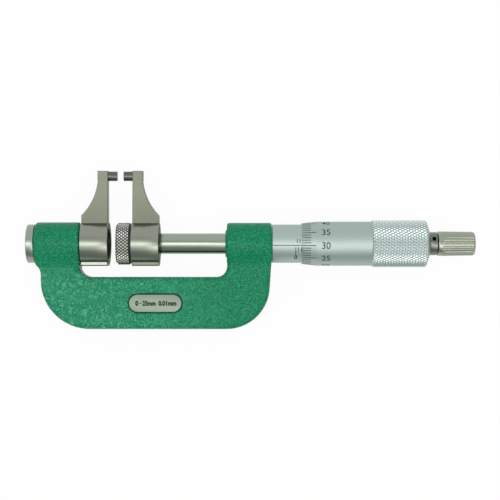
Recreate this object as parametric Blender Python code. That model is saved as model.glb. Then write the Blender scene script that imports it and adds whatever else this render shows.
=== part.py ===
# Jaw micrometer, 0 to 25 mm, lying on its back.
# Lengths are in metres. Every piece is drawn round the spindle axis: x runs along it, from the
# fixed measuring face at x = 0 towards the ratchet, y goes up the jaws and z faces the reader.
# The empty "spindle_axis" then sets the whole instrument down, with its lowest line at z = 0.
import math

import bmesh
import bpy
from mathutils import Vector

MM = 0.001

# Fits
SEAT_GAP = 0.3 * MM           # between pieces that rest on or screw into each other
CLOSE_FIT = 0.15 * MM         # round pins and under the thimble's edge
EDGE_BREAK = 0.25 * MM        # chamfer on turned edges
RUN_OUT = 1.0 * MM            # how far cutters run past the faces they open
WALL_INSET = 0.1 * MM         # how far the bow's outline stays inside the bosses

# Measuring
READING = 2.3 * MM            # how far the faces are apart as drawn
MEASURING_RANGE = 25.0 * MM
END_ROOM = 3.0 * MM           # spare thread past the largest reading

# Jaws
PIN_DIAMETER = 3.5 * MM
PIN_EDGE = 0.12 * MM
PIN_REACH = 3.3 * MM          # from the arm's face to the measuring face
PIN_HEIGHT = 24.45 * MM       # above the spindle axis
HUB_DIAMETER = 15.8 * MM
HUB_LENGTH = 10.0 * MM
ARM_INNER_RELIEF = 0.3 * MM   # the arm stands back from both ends of its hub
ARM_OUTER_RELIEF = 0.15 * MM
ARM_HEIGHT = 26.35 * MM
ARM_TOP_WIDTH = 3.75 * MM
ARM_TOP_STEP = 0.12 * MM      # where the cutter ran out under the top block
ARM_BLOCK_HEIGHT = 3.5 * MM
ARM_SHOULDER_HEIGHT = 10.2 * MM
ARM_ARC_RADIUS = 20.5 * MM
ARM_BASE_THICKNESS = 5.5 * MM  # beside the top of the hub
ARM_TOP_THICKNESS = 4.1 * MM
ARM_TAIL = 0.1 * MM           # the arm's plate runs through the hub and shows below it
ARM_EDGE_BREAK = 0.2 * MM

# Fixed jaw's fastening
SCREW_HEAD_BORE = 11.5 * MM
SCREW_HEAD_BORE_DEPTH = 6.6 * MM
SCREW_HEAD_DIAMETER = 9.5 * MM
SCREW_HEAD_LENGTH = 3.6 * MM
SCREW_SHANK_DIAMETER = 6.0 * MM
SCREW_HEX = 5.0 * MM
SCREW_HEX_DEPTH = 2.2 * MM
DOWEL_DIAMETER = 2.0 * MM
DOWEL_LENGTH = 6.4 * MM
DOWEL_OFFSET = 6.5 * MM       # below the axis
CAP_DIAMETER = 14.0 * MM
CAP_LENGTH = 3.0 * MM
CAP_SPIGOT_DIAMETER = 10.0 * MM
CAP_SPIGOT_LENGTH = 7.5 * MM
CAP_END_WALL = 1.6 * MM

# Frame
LEFT_BOSS_DIAMETER = 15.55 * MM
LEFT_BOSS_LENGTH = 16.2 * MM
RIGHT_BOSS_DIAMETER = 15.15 * MM
RIGHT_BOSS_LENGTH = 16.3 * MM
BOSS_ROUNDING = 0.9 * MM
LEFT_BOSS_FILLET = 5.0 * MM   # where the boss runs out into the flat of the bow
RIGHT_BOSS_FILLET = 1.5 * MM
THROAT_WIDTH = 53.0 * MM
THROAT_DEPTH = 12.05 * MM     # from the axis to the bow
BOW_HEIGHT = 18.8 * MM
BOW_THICKNESS = 9.0 * MM
BOW_ROUNDING = 1.9 * MM
BOW_LEFT_INSET = 2.0 * MM
BOW_LEFT_RADIUS = 17.7 * MM
BOW_RIGHT_INSET = 0.75 * MM
BOW_RIGHT_RADIUS = 15.6 * MM
BOW_FLARE_RADIUS = 6.0 * MM   # from the left boss down into the bow's left edge
BOW_FLARE_DEPTH = 11.5 * MM   # below the axis, where that flare ends
THROAT_LEFT_FILLET = 4.2 * MM
THROAT_RIGHT_FILLET = 3.85 * MM
BORE_RIM_DIAMETER = 9.8 * MM  # low collar of metal round the spindle's bore
BORE_RIM_HEIGHT = 0.5 * MM
GUIDE_LENGTH = 6.3 * MM       # plain bore that guides the spindle
PLATE_LENGTH = 19.1 * MM
PLATE_HEIGHT = 6.5 * MM
PLATE_THICKNESS = 0.6 * MM
PLATE_PROUD = 0.15 * MM
PLATE_EDGE = 0.08 * MM
PLATE_SHIFT = 0.8 * MM        # right of the throat's middle

# Spindle and its coupling to the screw
SPINDLE_DIAMETER = 7.5 * MM
SEAT_DEPTH = 3.3 * MM         # how far the spindle's shoulder enters the moving jaw
SPIGOT_DIAMETER = 5.5 * MM
SPIGOT_FLAT = 0.7 * MM
SPIGOT_RECESS = 0.6 * MM
KEY_DIAMETER = 3.0 * MM
KEY_TONGUE = 1.4 * MM
KEYWAY_WIDTH = 2.0 * MM
KEYWAY_DEPTH = 1.2 * MM
KEY_FROM_BORE = 3.3 * MM
KEY_SCREW_LENGTH = 1.5 * MM
SOCKET_DIAMETER = 3.8 * MM
SOCKET_DEPTH = 8.0 * MM
BALL_DIAMETER = 2.8 * MM
RETAINER_DIAMETER = 1.0 * MM
RETAINER_FROM_END = 3.0 * MM
RETAINER_GROOVE_DEPTH = 0.6 * MM

# Jaw nut
NUT_DIAMETER = 15.25 * MM
NUT_LENGTH = 5.2 * MM
NUT_CHAMFER = 0.65 * MM
NUT_COLLAR_DIAMETER = 12.4 * MM
NUT_COLLAR_LENGTH = 0.3 * MM
NUT_KNURL_CELLS = 24
NUT_KNURL_ROWS = 4

# Barrel and sleeve
BARREL_DIAMETER = 10.6 * MM
THREAD_LENGTH = 11.0 * MM
SLIT_WIDTH = 0.8 * MM
SLIT_LENGTH = 8.0 * MM
SLIT_COUNT = 3
ADJUSTER_DIAMETER = 13.2 * MM
ADJUSTER_LENGTH = 5.0 * MM
ADJUSTER_FROM_END = 1.5 * MM
ADJUSTER_NOTCH = 1.6 * MM
SLEEVE_DIAMETER = 13.9 * MM
ZERO_MARK_OFFSET = 8.5 * MM   # from the boss to the sleeve's zero line
SLEEVE_TO_ADJUSTER = 4.6 * MM

# Screw and thimble
THREAD_DIAMETER = 6.4 * MM
TAPER_FRONT_DIAMETER = 7.6 * MM
TAPER_REAR_DIAMETER = 6.4 * MM
THIMBLE_LENGTH = 46.4 * MM
THIMBLE_DIAMETER = 16.0 * MM
THIMBLE_EDGE_DIAMETER = 14.7 * MM
THIMBLE_BEVEL_LENGTH = 5.4 * MM
THIMBLE_WALL_LENGTH = 6.7 * MM
GRIP_DIAMETER = 17.25 * MM
GRIP_LENGTH = 19.9 * MM
GRIP_CHAMFER = 0.6 * MM
GRIP_KNURL_CELLS = 28
GRIP_KNURL_ROWS = 10
KNURL_DEPTH = 0.35 * MM
TAIL_LENGTH = 1.3 * MM        # the thimble's low cone behind the grip
TAIL_DIAMETER = 8.8 * MM

# Ratchet
NECK_DIAMETER = 8.4 * MM
NECK_LENGTH = 2.3 * MM
SPANNER_HOLE_DIAMETER = 1.5 * MM
SPANNER_HOLE_DEPTH = 1.6 * MM
SPANNER_HOLE_FROM_FRONT = 1.0 * MM
SPANNER_HOLE_ANGLE = 25.0     # degrees up from the reader's side
STEM_THREAD_DIAMETER = 3.0 * MM
STEM_THREAD_LENGTH = 5.5 * MM
STEM_SHAFT_DIAMETER = 3.2 * MM
TOOTH_COUNT = 12
TOOTH_HEIGHT = 0.4 * MM
TOOTH_RING_DIAMETER = 5.8 * MM
TOOTH_RING_LENGTH = 1.8 * MM
CLUTCH_LENGTH = 1.8 * MM
KNOB_DIAMETER = 9.05 * MM
KNOB_REAR_DIAMETER = 8.55 * MM
KNOB_LENGTH = 13.4 * MM
KNOB_BAND_LENGTH = 1.2 * MM
KNOB_END_ROUNDING = 0.9 * MM
KNOB_WEB = 1.8 * MM           # inner wall that the ratchet screw holds
FLUTE_COUNT = 26
FLUTE_DEPTH = 0.28 * MM
SPRING_WIRE = 0.5 * MM
SPRING_TURNS = 3.5
CAP_SCREW_HEAD = 5.0 * MM
CAP_SCREW_HEAD_LENGTH = 1.5 * MM
CAP_SCREW_SHANK = 1.8 * MM
CAP_SCREW_LENGTH = 4.5 * MM
CAP_SCREW_RECESS = 0.5 * MM
SLOT_WIDTH = 0.7 * MM
SLOT_DEPTH = 0.7 * MM

ROUND_STEPS = 40
INNER_STEPS = 24
FINE_STEPS = 20
ARC_STEP = math.radians(10.0)

# Stations along the axis, worked out from the sizes above
fixed_arm_face = -PIN_REACH
fixed_hub_inner = fixed_arm_face + ARM_INNER_RELIEF
fixed_hub_outer = fixed_hub_inner - HUB_LENGTH
left_boss_inner = fixed_hub_outer - SEAT_GAP
left_boss_outer = left_boss_inner - LEFT_BOSS_LENGTH
cap_end = left_boss_outer - CAP_LENGTH
right_boss_inner = left_boss_inner + THROAT_WIDTH
right_boss_outer = right_boss_inner + RIGHT_BOSS_LENGTH
moving_arm_face = READING + PIN_REACH
moving_hub_inner = moving_arm_face - ARM_INNER_RELIEF
moving_hub_outer = moving_hub_inner + HUB_LENGTH
shoulder = moving_hub_outer - SEAT_DEPTH + SEAT_GAP
nut_back = moving_hub_inner - SEAT_GAP
nut_front = nut_back - NUT_LENGTH
zero_mark = right_boss_outer + ZERO_MARK_OFFSET
thimble_front = zero_mark + READING
thimble_rear = thimble_front + THIMBLE_LENGTH
thimble_wall = thimble_rear - THIMBLE_WALL_LENGTH
barrel_front = right_boss_inner + GUIDE_LENGTH + SEAT_GAP
barrel_rear = thimble_wall - READING - 4.0 * SEAT_GAP
thread_front = barrel_rear - THREAD_LENGTH
spindle_rear = thread_front - (MEASURING_RANGE - READING) - END_ROOM
sleeve_rear = barrel_rear - ADJUSTER_FROM_END - ADJUSTER_LENGTH - SLEEVE_TO_ADJUSTER
key_station = right_boss_inner + KEY_FROM_BORE
neck_front = thimble_rear + SEAT_GAP
neck_rear = neck_front + NECK_LENGTH
knob_front = neck_rear + SEAT_GAP
knob_rear = knob_front + KNOB_LENGTH
grip_rear = thimble_rear - TAIL_LENGTH
grip_front = grip_rear - GRIP_LENGTH
tooth_tips = neck_rear + TOOTH_RING_LENGTH
bow_top = -THROAT_DEPTH
bow_bottom = bow_top - BOW_HEIGHT


def remove_old_objects():
    for old in list(bpy.data.objects):
        bpy.data.objects.remove(old, do_unlink=True)


def finish(name, color, roughness, metallic=1.0):
    material = bpy.data.materials.new(name)
    material.use_nodes = True
    shader = material.node_tree.nodes["Principled BSDF"]
    shader.inputs["Base Color"].default_value = (*color, 1.0)
    shader.inputs["Roughness"].default_value = roughness
    shader.inputs["Metallic"].default_value = metallic
    return material


def arc(center, radius, start, end, step=ARC_STEP):
    """Points of an arc from the angle start to the angle end, in degrees."""
    count = max(2, math.ceil(abs(math.radians(end - start)) / step))
    angles = [math.radians(start + (end - start) * i / count) for i in range(count + 1)]
    return [(center[0] + radius * math.cos(a), center[1] + radius * math.sin(a)) for a in angles]


def turned(profile, steps=ROUND_STEPS):
    """Revolve (x, radius) points about the x axis, as a closed ring or from axis to axis."""
    bm = bmesh.new()
    verts = [bm.verts.new((x, 0.0, radius)) for x, radius in profile]
    edges = [bm.edges.new(pair) for pair in zip(verts, verts[1:])]
    if profile[0][1] > 0.0:
        edges.append(bm.edges.new((verts[-1], verts[0])))
    bmesh.ops.spin(bm, geom=verts + edges, axis=(1.0, 0.0, 0.0), cent=(0.0, 0.0, 0.0),
                   angle=math.tau, steps=steps, use_merge=True)
    bmesh.ops.remove_doubles(bm, verts=bm.verts, dist=1e-7)
    bmesh.ops.recalc_face_normals(bm, faces=bm.faces)
    return bm


def ring(bm, x, radius, steps, hollow=0.0, row=0):
    """Points round the axis. With a hollow, every second one lies that much deeper."""
    points = []
    for i in range(steps):
        angle = math.tau * i / steps
        reach = radius - hollow * ((i + row) % 2)
        points.append(bm.verts.new((x, reach * math.sin(angle), reach * math.cos(angle))))
    return points


def stitch(bm, ahead, behind):
    """Triangles between two rings, which may differ in count, always by the shorter diagonal."""
    i = j = 0
    while i < len(ahead) or j < len(behind):
        here, there = ahead[i % len(ahead)], behind[j % len(behind)]
        next_here, next_there = ahead[(i + 1) % len(ahead)], behind[(j + 1) % len(behind)]
        ahead_is_shorter = (next_here.co - there.co).length <= (next_there.co - here.co).length
        if j == len(behind) or (i < len(ahead) and ahead_is_shorter):
            bm.faces.new((here, next_here, there))
            i += 1
        else:
            bm.faces.new((here, next_there, there))
            j += 1


def knurled(before, after, front, rear, radius, cells, rows):
    """A turned ring of metal whose outside carries a diamond knurl from front to rear.

    The knurl's crests and hollows alternate along it and around it, so that the shorter
    diagonals are the grooves between its diamonds.
    """
    bm = bmesh.new()
    rings = [ring(bm, x, reach, ROUND_STEPS) for x, reach in before]
    for row in range(rows + 1):
        x = front + (rear - front) * row / rows
        rings.append(ring(bm, x, radius, 2 * cells, KNURL_DEPTH, row))
    rings += [ring(bm, x, reach, ROUND_STEPS) for x, reach in after]
    for ahead, behind in zip(rings, rings[1:] + rings[:1]):
        stitch(bm, ahead, behind)
    bmesh.ops.recalc_face_normals(bm, faces=bm.faces)
    return bm


def rod(front, rear, diameter, steps=FINE_STEPS, front_break=0.0, rear_break=0.0):
    """Plain round rod along the axis, with a chamfer at either end where one is given."""
    radius = diameter / 2.0
    profile = [(front, 0.0)]
    if front_break:
        profile.append((front, radius - front_break))
    profile.append((front + front_break, radius))
    profile.append((rear - rear_break, radius))
    if rear_break:
        profile.append((rear, radius - rear_break))
    profile.append((rear, 0.0))
    return turned(profile, steps)


def prism(face_points, travel):
    """Extrude one flat face, given by its corners, along the vector travel."""
    bm = bmesh.new()
    face = bm.faces.new([bm.verts.new(point) for point in face_points])
    far_side = bmesh.ops.extrude_face_region(bm, geom=[face])["geom"]
    far_verts = [item for item in far_side if isinstance(item, bmesh.types.BMVert)]
    bmesh.ops.translate(bm, verts=far_verts, vec=travel)
    bmesh.ops.recalc_face_normals(bm, faces=bm.faces)
    return bm


def move(bm, offset):
    bmesh.ops.translate(bm, verts=bm.verts, vec=offset)
    return bm


def upright(bm, angle):
    """Turn a rod drawn along x to point radially, angle degrees up from the reader's side."""
    turn = Vector((1.0, 0.0, 0.0)).rotation_difference(
        Vector((0.0, math.sin(math.radians(angle)), math.cos(math.radians(angle)))))
    bmesh.ops.rotate(bm, verts=bm.verts, cent=(0.0, 0.0, 0.0), matrix=turn.to_matrix())
    return bm


def add_object(name, bm, material, parent):
    mesh = bpy.data.meshes.new(name)
    bm.to_mesh(mesh)
    bm.free()
    if material:
        mesh.materials.append(material)
    mesh.shade_smooth()
    mesh.set_sharp_from_angle(angle=math.radians(30.0))
    piece = bpy.data.objects.new(name, mesh)
    bpy.context.collection.objects.link(piece)
    piece.parent = parent
    return piece


def add_tool(name, bm, parent):
    """A body that only shapes another piece: it is hidden and never rendered."""
    tool = add_object(name, bm, None, parent)
    tool.hide_render = True
    tool.display_type = "WIRE"
    return tool


def combine(piece, tool, operation):
    modifier = piece.modifiers.new(operation.lower() + "_" + tool.name, "BOOLEAN")
    modifier.operation = operation
    modifier.solver = "EXACT"
    modifier.object = tool


def cut(piece, *tools):
    for tool in tools:
        combine(piece, tool, "DIFFERENCE")


def unite(piece, *tools):
    for tool in tools:
        combine(piece, tool, "UNION")


def round_edges(piece, width, segments):
    modifier = piece.modifiers.new("rounded_edges", "BEVEL")
    modifier.width = width
    modifier.segments = segments
    modifier.limit_method = "ANGLE"
    modifier.angle_limit = math.radians(50.0)


def flare_center():
    return left_boss_outer + BOW_LEFT_INSET - BOW_FLARE_RADIUS, -BOW_FLARE_DEPTH


def bow_outline():
    """The bow's outline in x and y, anticlockwise from its lower left corner."""
    inside_boss = -0.72 * min(LEFT_BOSS_DIAMETER, RIGHT_BOSS_DIAMETER) / 2.0
    left = left_boss_outer + BOW_LEFT_INSET
    left_center = (left + BOW_LEFT_RADIUS, bow_bottom + BOW_LEFT_RADIUS)
    right_center = (right_boss_outer - BOW_RIGHT_INSET - BOW_RIGHT_RADIUS,
                    bow_bottom + BOW_RIGHT_RADIUS)
    right_top = (right_boss_outer - WALL_INSET / 2.0, inside_boss)
    span = Vector(right_top) - Vector(right_center)
    tangent = math.degrees(math.atan2(span.y, span.x) - math.acos(BOW_RIGHT_RADIUS / span.length))
    flare_run = BOW_LEFT_INSET - 4.0 * WALL_INSET
    flare_angle = math.degrees(math.acos(1.0 - flare_run / BOW_FLARE_RADIUS))
    throat_left = left_boss_inner - WALL_INSET
    throat_right = right_boss_inner + WALL_INSET

    outline = arc(left_center, BOW_LEFT_RADIUS, 180.0, 270.0)
    outline += arc(right_center, BOW_RIGHT_RADIUS, 270.0, 360.0 + tangent)
    outline += [right_top, (throat_right, inside_boss)]
    outline += arc((throat_right - THROAT_RIGHT_FILLET, bow_top + THROAT_RIGHT_FILLET),
                   THROAT_RIGHT_FILLET, 0.0, -90.0, 2.0 * ARC_STEP)
    outline += arc((throat_left + THROAT_LEFT_FILLET, bow_top + THROAT_LEFT_FILLET),
                   THROAT_LEFT_FILLET, 270.0, 180.0, 2.0 * ARC_STEP)
    outline += [(throat_left, inside_boss), (left_boss_outer + 4.0 * WALL_INSET, inside_boss)]
    outline += arc(flare_center(), BOW_FLARE_RADIUS, flare_angle, 0.0)
    return outline


def flare_cutter():
    """It trims the lower outer corner of the left boss to the flare of the bow."""
    radius = BOW_FLARE_RADIUS - WALL_INSET
    outside = left_boss_outer - RUN_OUT
    center = flare_center()
    top = math.degrees(math.acos((outside - center[0]) / radius))
    outline = [(outside, center[1])] + arc(center, radius, 0.0, top)
    reach = LEFT_BOSS_DIAMETER / 2.0 + RUN_OUT
    return prism([(x, y, -reach) for x, y in outline], (0.0, 0.0, 2.0 * reach))


def boss_section(diameter, fillet):
    """A boss across the axis, as (y, z): round above, with a fillet down to the bow's flats."""
    radius = diameter / 2.0
    half = BOW_THICKNESS / 2.0
    fillet_y = -math.sqrt((radius + fillet) ** 2 - (half + fillet) ** 2)
    meeting = math.degrees(math.atan2(half + fillet, fillet_y))
    front_fillet = arc((fillet_y, half + fillet), fillet, meeting - 180.0, -90.0, 2.0 * ARC_STEP)
    round_part = arc((0.0, 0.0), radius, -meeting, meeting, math.tau / ROUND_STEPS)
    root = fillet_y - half / 8.0
    foot = [(root, half * 0.8), (root, -half * 0.8)]
    back_fillet = [(y, -z) for y, z in reversed(front_fillet)]
    return round_part + front_fillet[1:] + foot + back_fillet[:-1]


def boss(name, front, rear, diameter, fillet, parent):
    section = boss_section(diameter, fillet)
    bm = prism([(front, y, z) for y, z in section], (rear - front, 0.0, 0.0))
    form = add_tool(name, bm, parent)
    round_edges(form, BOSS_ROUNDING, 2)
    return form


def stadium(length, height, center, start, depth):
    """A prism with round ends, lying in the plane of the bow and extruded along z."""
    radius = height / 2.0
    reach = length / 2.0 - radius
    outline = arc((center[0] + reach, center[1]), radius, -90.0, 90.0, 1.6 * ARC_STEP)
    outline += arc((center[0] - reach, center[1]), radius, 90.0, 270.0, 1.6 * ARC_STEP)
    return prism([(x, y, start) for x, y in outline], (0.0, 0.0, depth))


def plate_place():
    middle = (left_boss_inner + right_boss_inner) / 2.0 + PLATE_SHIFT
    return middle, bow_top - BOW_HEIGHT / 2.0


def build_frame(parent, paint):
    outline = bow_outline()
    half = BOW_THICKNESS / 2.0
    frame = add_object("frame", prism([(x, y, -half) for x, y in outline],
                                      (0.0, 0.0, BOW_THICKNESS)), paint, parent)
    round_edges(frame, BOW_ROUNDING, 3)
    unite(frame,
          boss("left_boss_form", left_boss_outer, left_boss_inner, LEFT_BOSS_DIAMETER,
               LEFT_BOSS_FILLET, parent),
          boss("right_boss_form", right_boss_inner, right_boss_outer, RIGHT_BOSS_DIAMETER,
               RIGHT_BOSS_FILLET, parent),
          add_tool("bore_rim_form",
                   rod(right_boss_inner - BORE_RIM_HEIGHT, right_boss_inner + BOSS_ROUNDING,
                       BORE_RIM_DIAMETER, ROUND_STEPS, EDGE_BREAK), parent))

    shank_hole = SCREW_SHANK_DIAMETER / 2.0 + SEAT_GAP
    cap_hole = CAP_SPIGOT_DIAMETER / 2.0 + SEAT_GAP
    cap_hole_floor = left_boss_outer + CAP_SPIGOT_LENGTH + SEAT_GAP
    left_bore = [(left_boss_outer - RUN_OUT, 0.0), (left_boss_outer - RUN_OUT, cap_hole),
                 (cap_hole_floor, cap_hole), (cap_hole_floor, shank_hole),
                 (left_boss_inner + RUN_OUT, shank_hole), (left_boss_inner + RUN_OUT, 0.0)]
    guide = SPINDLE_DIAMETER / 2.0 + SEAT_GAP
    barrel_hole = BARREL_DIAMETER / 2.0 + SEAT_GAP
    step = right_boss_inner + GUIDE_LENGTH
    mouth = right_boss_inner - BORE_RIM_HEIGHT
    right_bore = [(mouth - RUN_OUT, 0.0), (mouth - RUN_OUT, guide + EDGE_BREAK + RUN_OUT),
                  (mouth + EDGE_BREAK, guide), (step, guide), (step, barrel_hole),
                  (right_boss_outer + RUN_OUT, barrel_hole), (right_boss_outer + RUN_OUT, 0.0)]
    dowel_front = left_boss_inner - DOWEL_LENGTH / 2.0 - SEAT_GAP
    key_top = RIGHT_BOSS_DIAMETER / 2.0 + RUN_OUT
    cut(frame,
        add_tool("flare_trim", flare_cutter(), parent),
        add_tool("left_bore", turned(left_bore, INNER_STEPS), parent),
        add_tool("right_bore", turned(right_bore, INNER_STEPS), parent),
        add_tool("dowel_hole",
                 move(rod(dowel_front, left_boss_inner + RUN_OUT,
                          DOWEL_DIAMETER + 2.0 * CLOSE_FIT, 16),
                      (0.0, -DOWEL_OFFSET, 0.0)), parent),
        add_tool("key_hole",
                 move(upright(rod(0.0, key_top, KEY_DIAMETER + 2.0 * CLOSE_FIT, FINE_STEPS), 180.0),
                      (key_station, 0.0, 0.0)), parent),
        add_tool("plate_pocket",
                 stadium(PLATE_LENGTH + 2.0 * SEAT_GAP, PLATE_HEIGHT + 2.0 * SEAT_GAP,
                         plate_place(), half - PLATE_THICKNESS + PLATE_PROUD - SEAT_GAP, 2.0 * RUN_OUT),
                 parent))


def build_range_plate(parent, steel):
    start = BOW_THICKNESS / 2.0 + PLATE_PROUD
    plate = add_object("range_plate", stadium(PLATE_LENGTH, PLATE_HEIGHT, plate_place(), start,
                                              -PLATE_THICKNESS), steel, parent)
    round_edges(plate, PLATE_EDGE, 1)


def arm_outline():
    """The arm's outline, as (distance from its face, height): a block, a milled arc, a tail."""
    base_width = HUB_LENGTH - ARM_INNER_RELIEF - ARM_OUTER_RELIEF
    run_out = (ARM_TOP_WIDTH - ARM_TOP_STEP, ARM_HEIGHT - ARM_BLOCK_HEIGHT)
    shoulder_point = (base_width, ARM_SHOULDER_HEIGHT)
    chord = Vector(shoulder_point) - Vector(run_out)
    middle = (Vector(shoulder_point) + Vector(run_out)) / 2.0
    sagitta_leg = math.sqrt(ARM_ARC_RADIUS ** 2 - (chord.length / 2.0) ** 2)
    center = middle + sagitta_leg * Vector((-chord.y, chord.x)).normalized()
    start = math.degrees(math.atan2(run_out[1] - center.y, run_out[0] - center.x)) % 360.0
    end = math.degrees(math.atan2(shoulder_point[1] - center.y,
                                  shoulder_point[0] - center.x)) % 360.0
    tail = -HUB_DIAMETER / 2.0 - ARM_TAIL
    outline = [(0.0, tail), (0.0, ARM_HEIGHT), (ARM_TOP_WIDTH, ARM_HEIGHT),
               (ARM_TOP_WIDTH, run_out[1] + ARM_TOP_STEP)]
    outline += arc(center, ARM_ARC_RADIUS, start, end, ARC_STEP / 2.0)
    return outline + [(base_width, tail)]


def arm_half_thickness(height):
    """The arm tapers evenly from its lower end to its top."""
    share = (height - HUB_DIAMETER / 2.0) / (ARM_HEIGHT - HUB_DIAMETER / 2.0)
    return (ARM_BASE_THICKNESS + (ARM_TOP_THICKNESS - ARM_BASE_THICKNESS) * share) / 2.0


def build_jaw(name, arm_face, side, parent, steel):
    """One jaw: its hub on the axis and its arm. The arm's face looks away from side."""
    bm = prism([(arm_face + side * u, y, -1.0) for u, y in arm_outline()], (0.0, 0.0, 2.0))
    for vert in bm.verts:
        vert.co.z = math.copysign(arm_half_thickness(vert.co.y), vert.co.z)
    jaw = add_object(name, bm, steel, parent)
    round_edges(jaw, ARM_EDGE_BREAK, 1)
    hub_inner = arm_face - side * ARM_INNER_RELIEF
    hub_outer = hub_inner + side * HUB_LENGTH
    hub = rod(min(hub_inner, hub_outer), max(hub_inner, hub_outer), HUB_DIAMETER, ROUND_STEPS,
              EDGE_BREAK, EDGE_BREAK)
    unite(jaw, add_tool(name + "_hub_form", hub, parent))
    pin_hole = move(rod(min(arm_face - side * RUN_OUT, arm_face + side * pin_seat_depth()),
                        max(arm_face - side * RUN_OUT, arm_face + side * pin_seat_depth()),
                        PIN_DIAMETER + 2.0 * CLOSE_FIT, FINE_STEPS), (0.0, PIN_HEIGHT, 0.0))
    cut(jaw, add_tool(name + "_pin_hole", pin_hole, parent))
    return jaw


def pin_seat_depth():
    """Depth of the blind hole in the arm that holds the measuring pin."""
    return ARM_TOP_WIDTH * 0.75


def build_pin(name, arm_face, side, parent, carbide):
    face = arm_face - side * PIN_REACH
    foot = arm_face + side * (pin_seat_depth() - SEAT_GAP)
    bm = rod(min(face, foot), max(face, foot), PIN_DIAMETER, FINE_STEPS, PIN_EDGE, PIN_EDGE)
    add_object(name, move(bm, (0.0, PIN_HEIGHT, 0.0)), carbide, parent)


def build_fixed_jaw(parent, steel, carbide):
    jaw = build_jaw("fixed_jaw", fixed_arm_face, -1.0, parent, steel)
    floor = fixed_hub_inner - SCREW_HEAD_BORE_DEPTH
    head_bore = SCREW_HEAD_BORE / 2.0
    shank_hole = SCREW_SHANK_DIAMETER / 2.0 + SEAT_GAP
    bore = [(fixed_hub_outer - RUN_OUT, 0.0), (fixed_hub_outer - RUN_OUT, shank_hole),
            (floor, shank_hole), (floor, head_bore), (fixed_hub_inner - EDGE_BREAK, head_bore),
            (fixed_hub_inner + RUN_OUT, head_bore + EDGE_BREAK + RUN_OUT),
            (fixed_hub_inner + RUN_OUT, 0.0)]
    dowel_rear = left_boss_inner + DOWEL_LENGTH / 2.0 + SEAT_GAP
    cut(jaw, add_tool("fixed_jaw_bore", turned(bore, INNER_STEPS), parent),
        add_tool("fixed_jaw_dowel_hole",
                 move(rod(fixed_hub_outer - RUN_OUT, dowel_rear, DOWEL_DIAMETER + 2.0 * CLOSE_FIT, 16),
                      (0.0, -DOWEL_OFFSET, 0.0)), parent))
    build_pin("fixed_pin", fixed_arm_face, -1.0, parent, carbide)


def build_fixed_jaw_fastening(parent, steel, dark_steel):
    head_back = fixed_hub_inner - SCREW_HEAD_BORE_DEPTH + SEAT_GAP
    head_front = head_back + SCREW_HEAD_LENGTH
    shank = SCREW_SHANK_DIAMETER / 2.0
    head = SCREW_HEAD_DIAMETER / 2.0
    tip = cap_end + CAP_END_WALL + SEAT_GAP
    screw = add_object("clamp_screw", turned([
        (tip, 0.0), (tip, shank - EDGE_BREAK), (tip + EDGE_BREAK, shank), (head_back, shank),
        (head_back, head), (head_front - EDGE_BREAK, head), (head_front, head - EDGE_BREAK),
        (head_front, 0.0)], FINE_STEPS), dark_steel, parent)
    hexagon = rod(head_front - SCREW_HEX_DEPTH, head_front + RUN_OUT, SCREW_HEX / math.cos(math.pi / 6), 6)
    cut(screw, add_tool("clamp_screw_hexagon", hexagon, parent))

    dowel = rod(left_boss_inner - DOWEL_LENGTH / 2.0, left_boss_inner + DOWEL_LENGTH / 2.0,
                DOWEL_DIAMETER, 16, EDGE_BREAK, EDGE_BREAK)
    add_object("jaw_dowel", move(dowel, (0.0, -DOWEL_OFFSET, 0.0)), steel, parent)

    flange = CAP_DIAMETER / 2.0
    spigot = CAP_SPIGOT_DIAMETER / 2.0
    hole = shank + SEAT_GAP
    flange_back = left_boss_outer - SEAT_GAP
    spigot_end = left_boss_outer + CAP_SPIGOT_LENGTH
    add_object("end_cap", turned([
        (cap_end, 0.0), (cap_end, flange - 2.0 * EDGE_BREAK), (cap_end + 1.2 * EDGE_BREAK, flange),
        (flange_back, flange), (flange_back, spigot), (spigot_end, spigot), (spigot_end, hole),
        (cap_end + CAP_END_WALL, hole), (cap_end + CAP_END_WALL, 0.0)], ROUND_STEPS), steel, parent)


def build_guide_key(parent, steel, dark_steel):
    """The key rides in the spindle's keyway, from the back of the right boss."""
    spindle = SPINDLE_DIAMETER / 2.0
    tongue_tip = spindle - KEYWAY_DEPTH + SEAT_GAP
    key_foot = spindle + SEAT_GAP
    screw_top = RIGHT_BOSS_DIAMETER / 2.0 - 2.0 * SEAT_GAP
    screw_foot = screw_top - KEY_SCREW_LENGTH
    key = add_object("guide_key", move(upright(rod(tongue_tip, screw_foot - SEAT_GAP, KEY_DIAMETER,
                                                   FINE_STEPS), 180.0),
                                       (key_station, 0.0, 0.0)), steel, parent)
    for side in (-1.0, 1.0):
        outer = KEY_DIAMETER
        near = side * KEY_TONGUE / 2.0
        flank = prism([(key_station - outer, near, -key_foot),
                       (key_station + outer, near, -key_foot),
                       (key_station + outer, side * outer, -key_foot),
                       (key_station - outer, side * outer, -key_foot)],
                      (0.0, 0.0, key_foot - tongue_tip + RUN_OUT))
        cut(key, add_tool("key_flank_" + ("left" if side < 0.0 else "right"), flank, parent))
    screw = add_object("key_screw", move(upright(rod(screw_foot, screw_top, KEY_DIAMETER,
                                                     FINE_STEPS, EDGE_BREAK, EDGE_BREAK), 180.0),
                                         (key_station, 0.0, 0.0)), dark_steel, parent)
    half = SLOT_WIDTH / 2.0
    slot = prism([(key_station - KEY_DIAMETER, -half, -screw_top - RUN_OUT),
                  (key_station + KEY_DIAMETER, -half, -screw_top - RUN_OUT),
                  (key_station + KEY_DIAMETER, half, -screw_top - RUN_OUT),
                  (key_station - KEY_DIAMETER, half, -screw_top - RUN_OUT)],
                 (0.0, 0.0, RUN_OUT + SLOT_DEPTH))
    cut(screw, add_tool("key_screw_slot", slot, parent))


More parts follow.
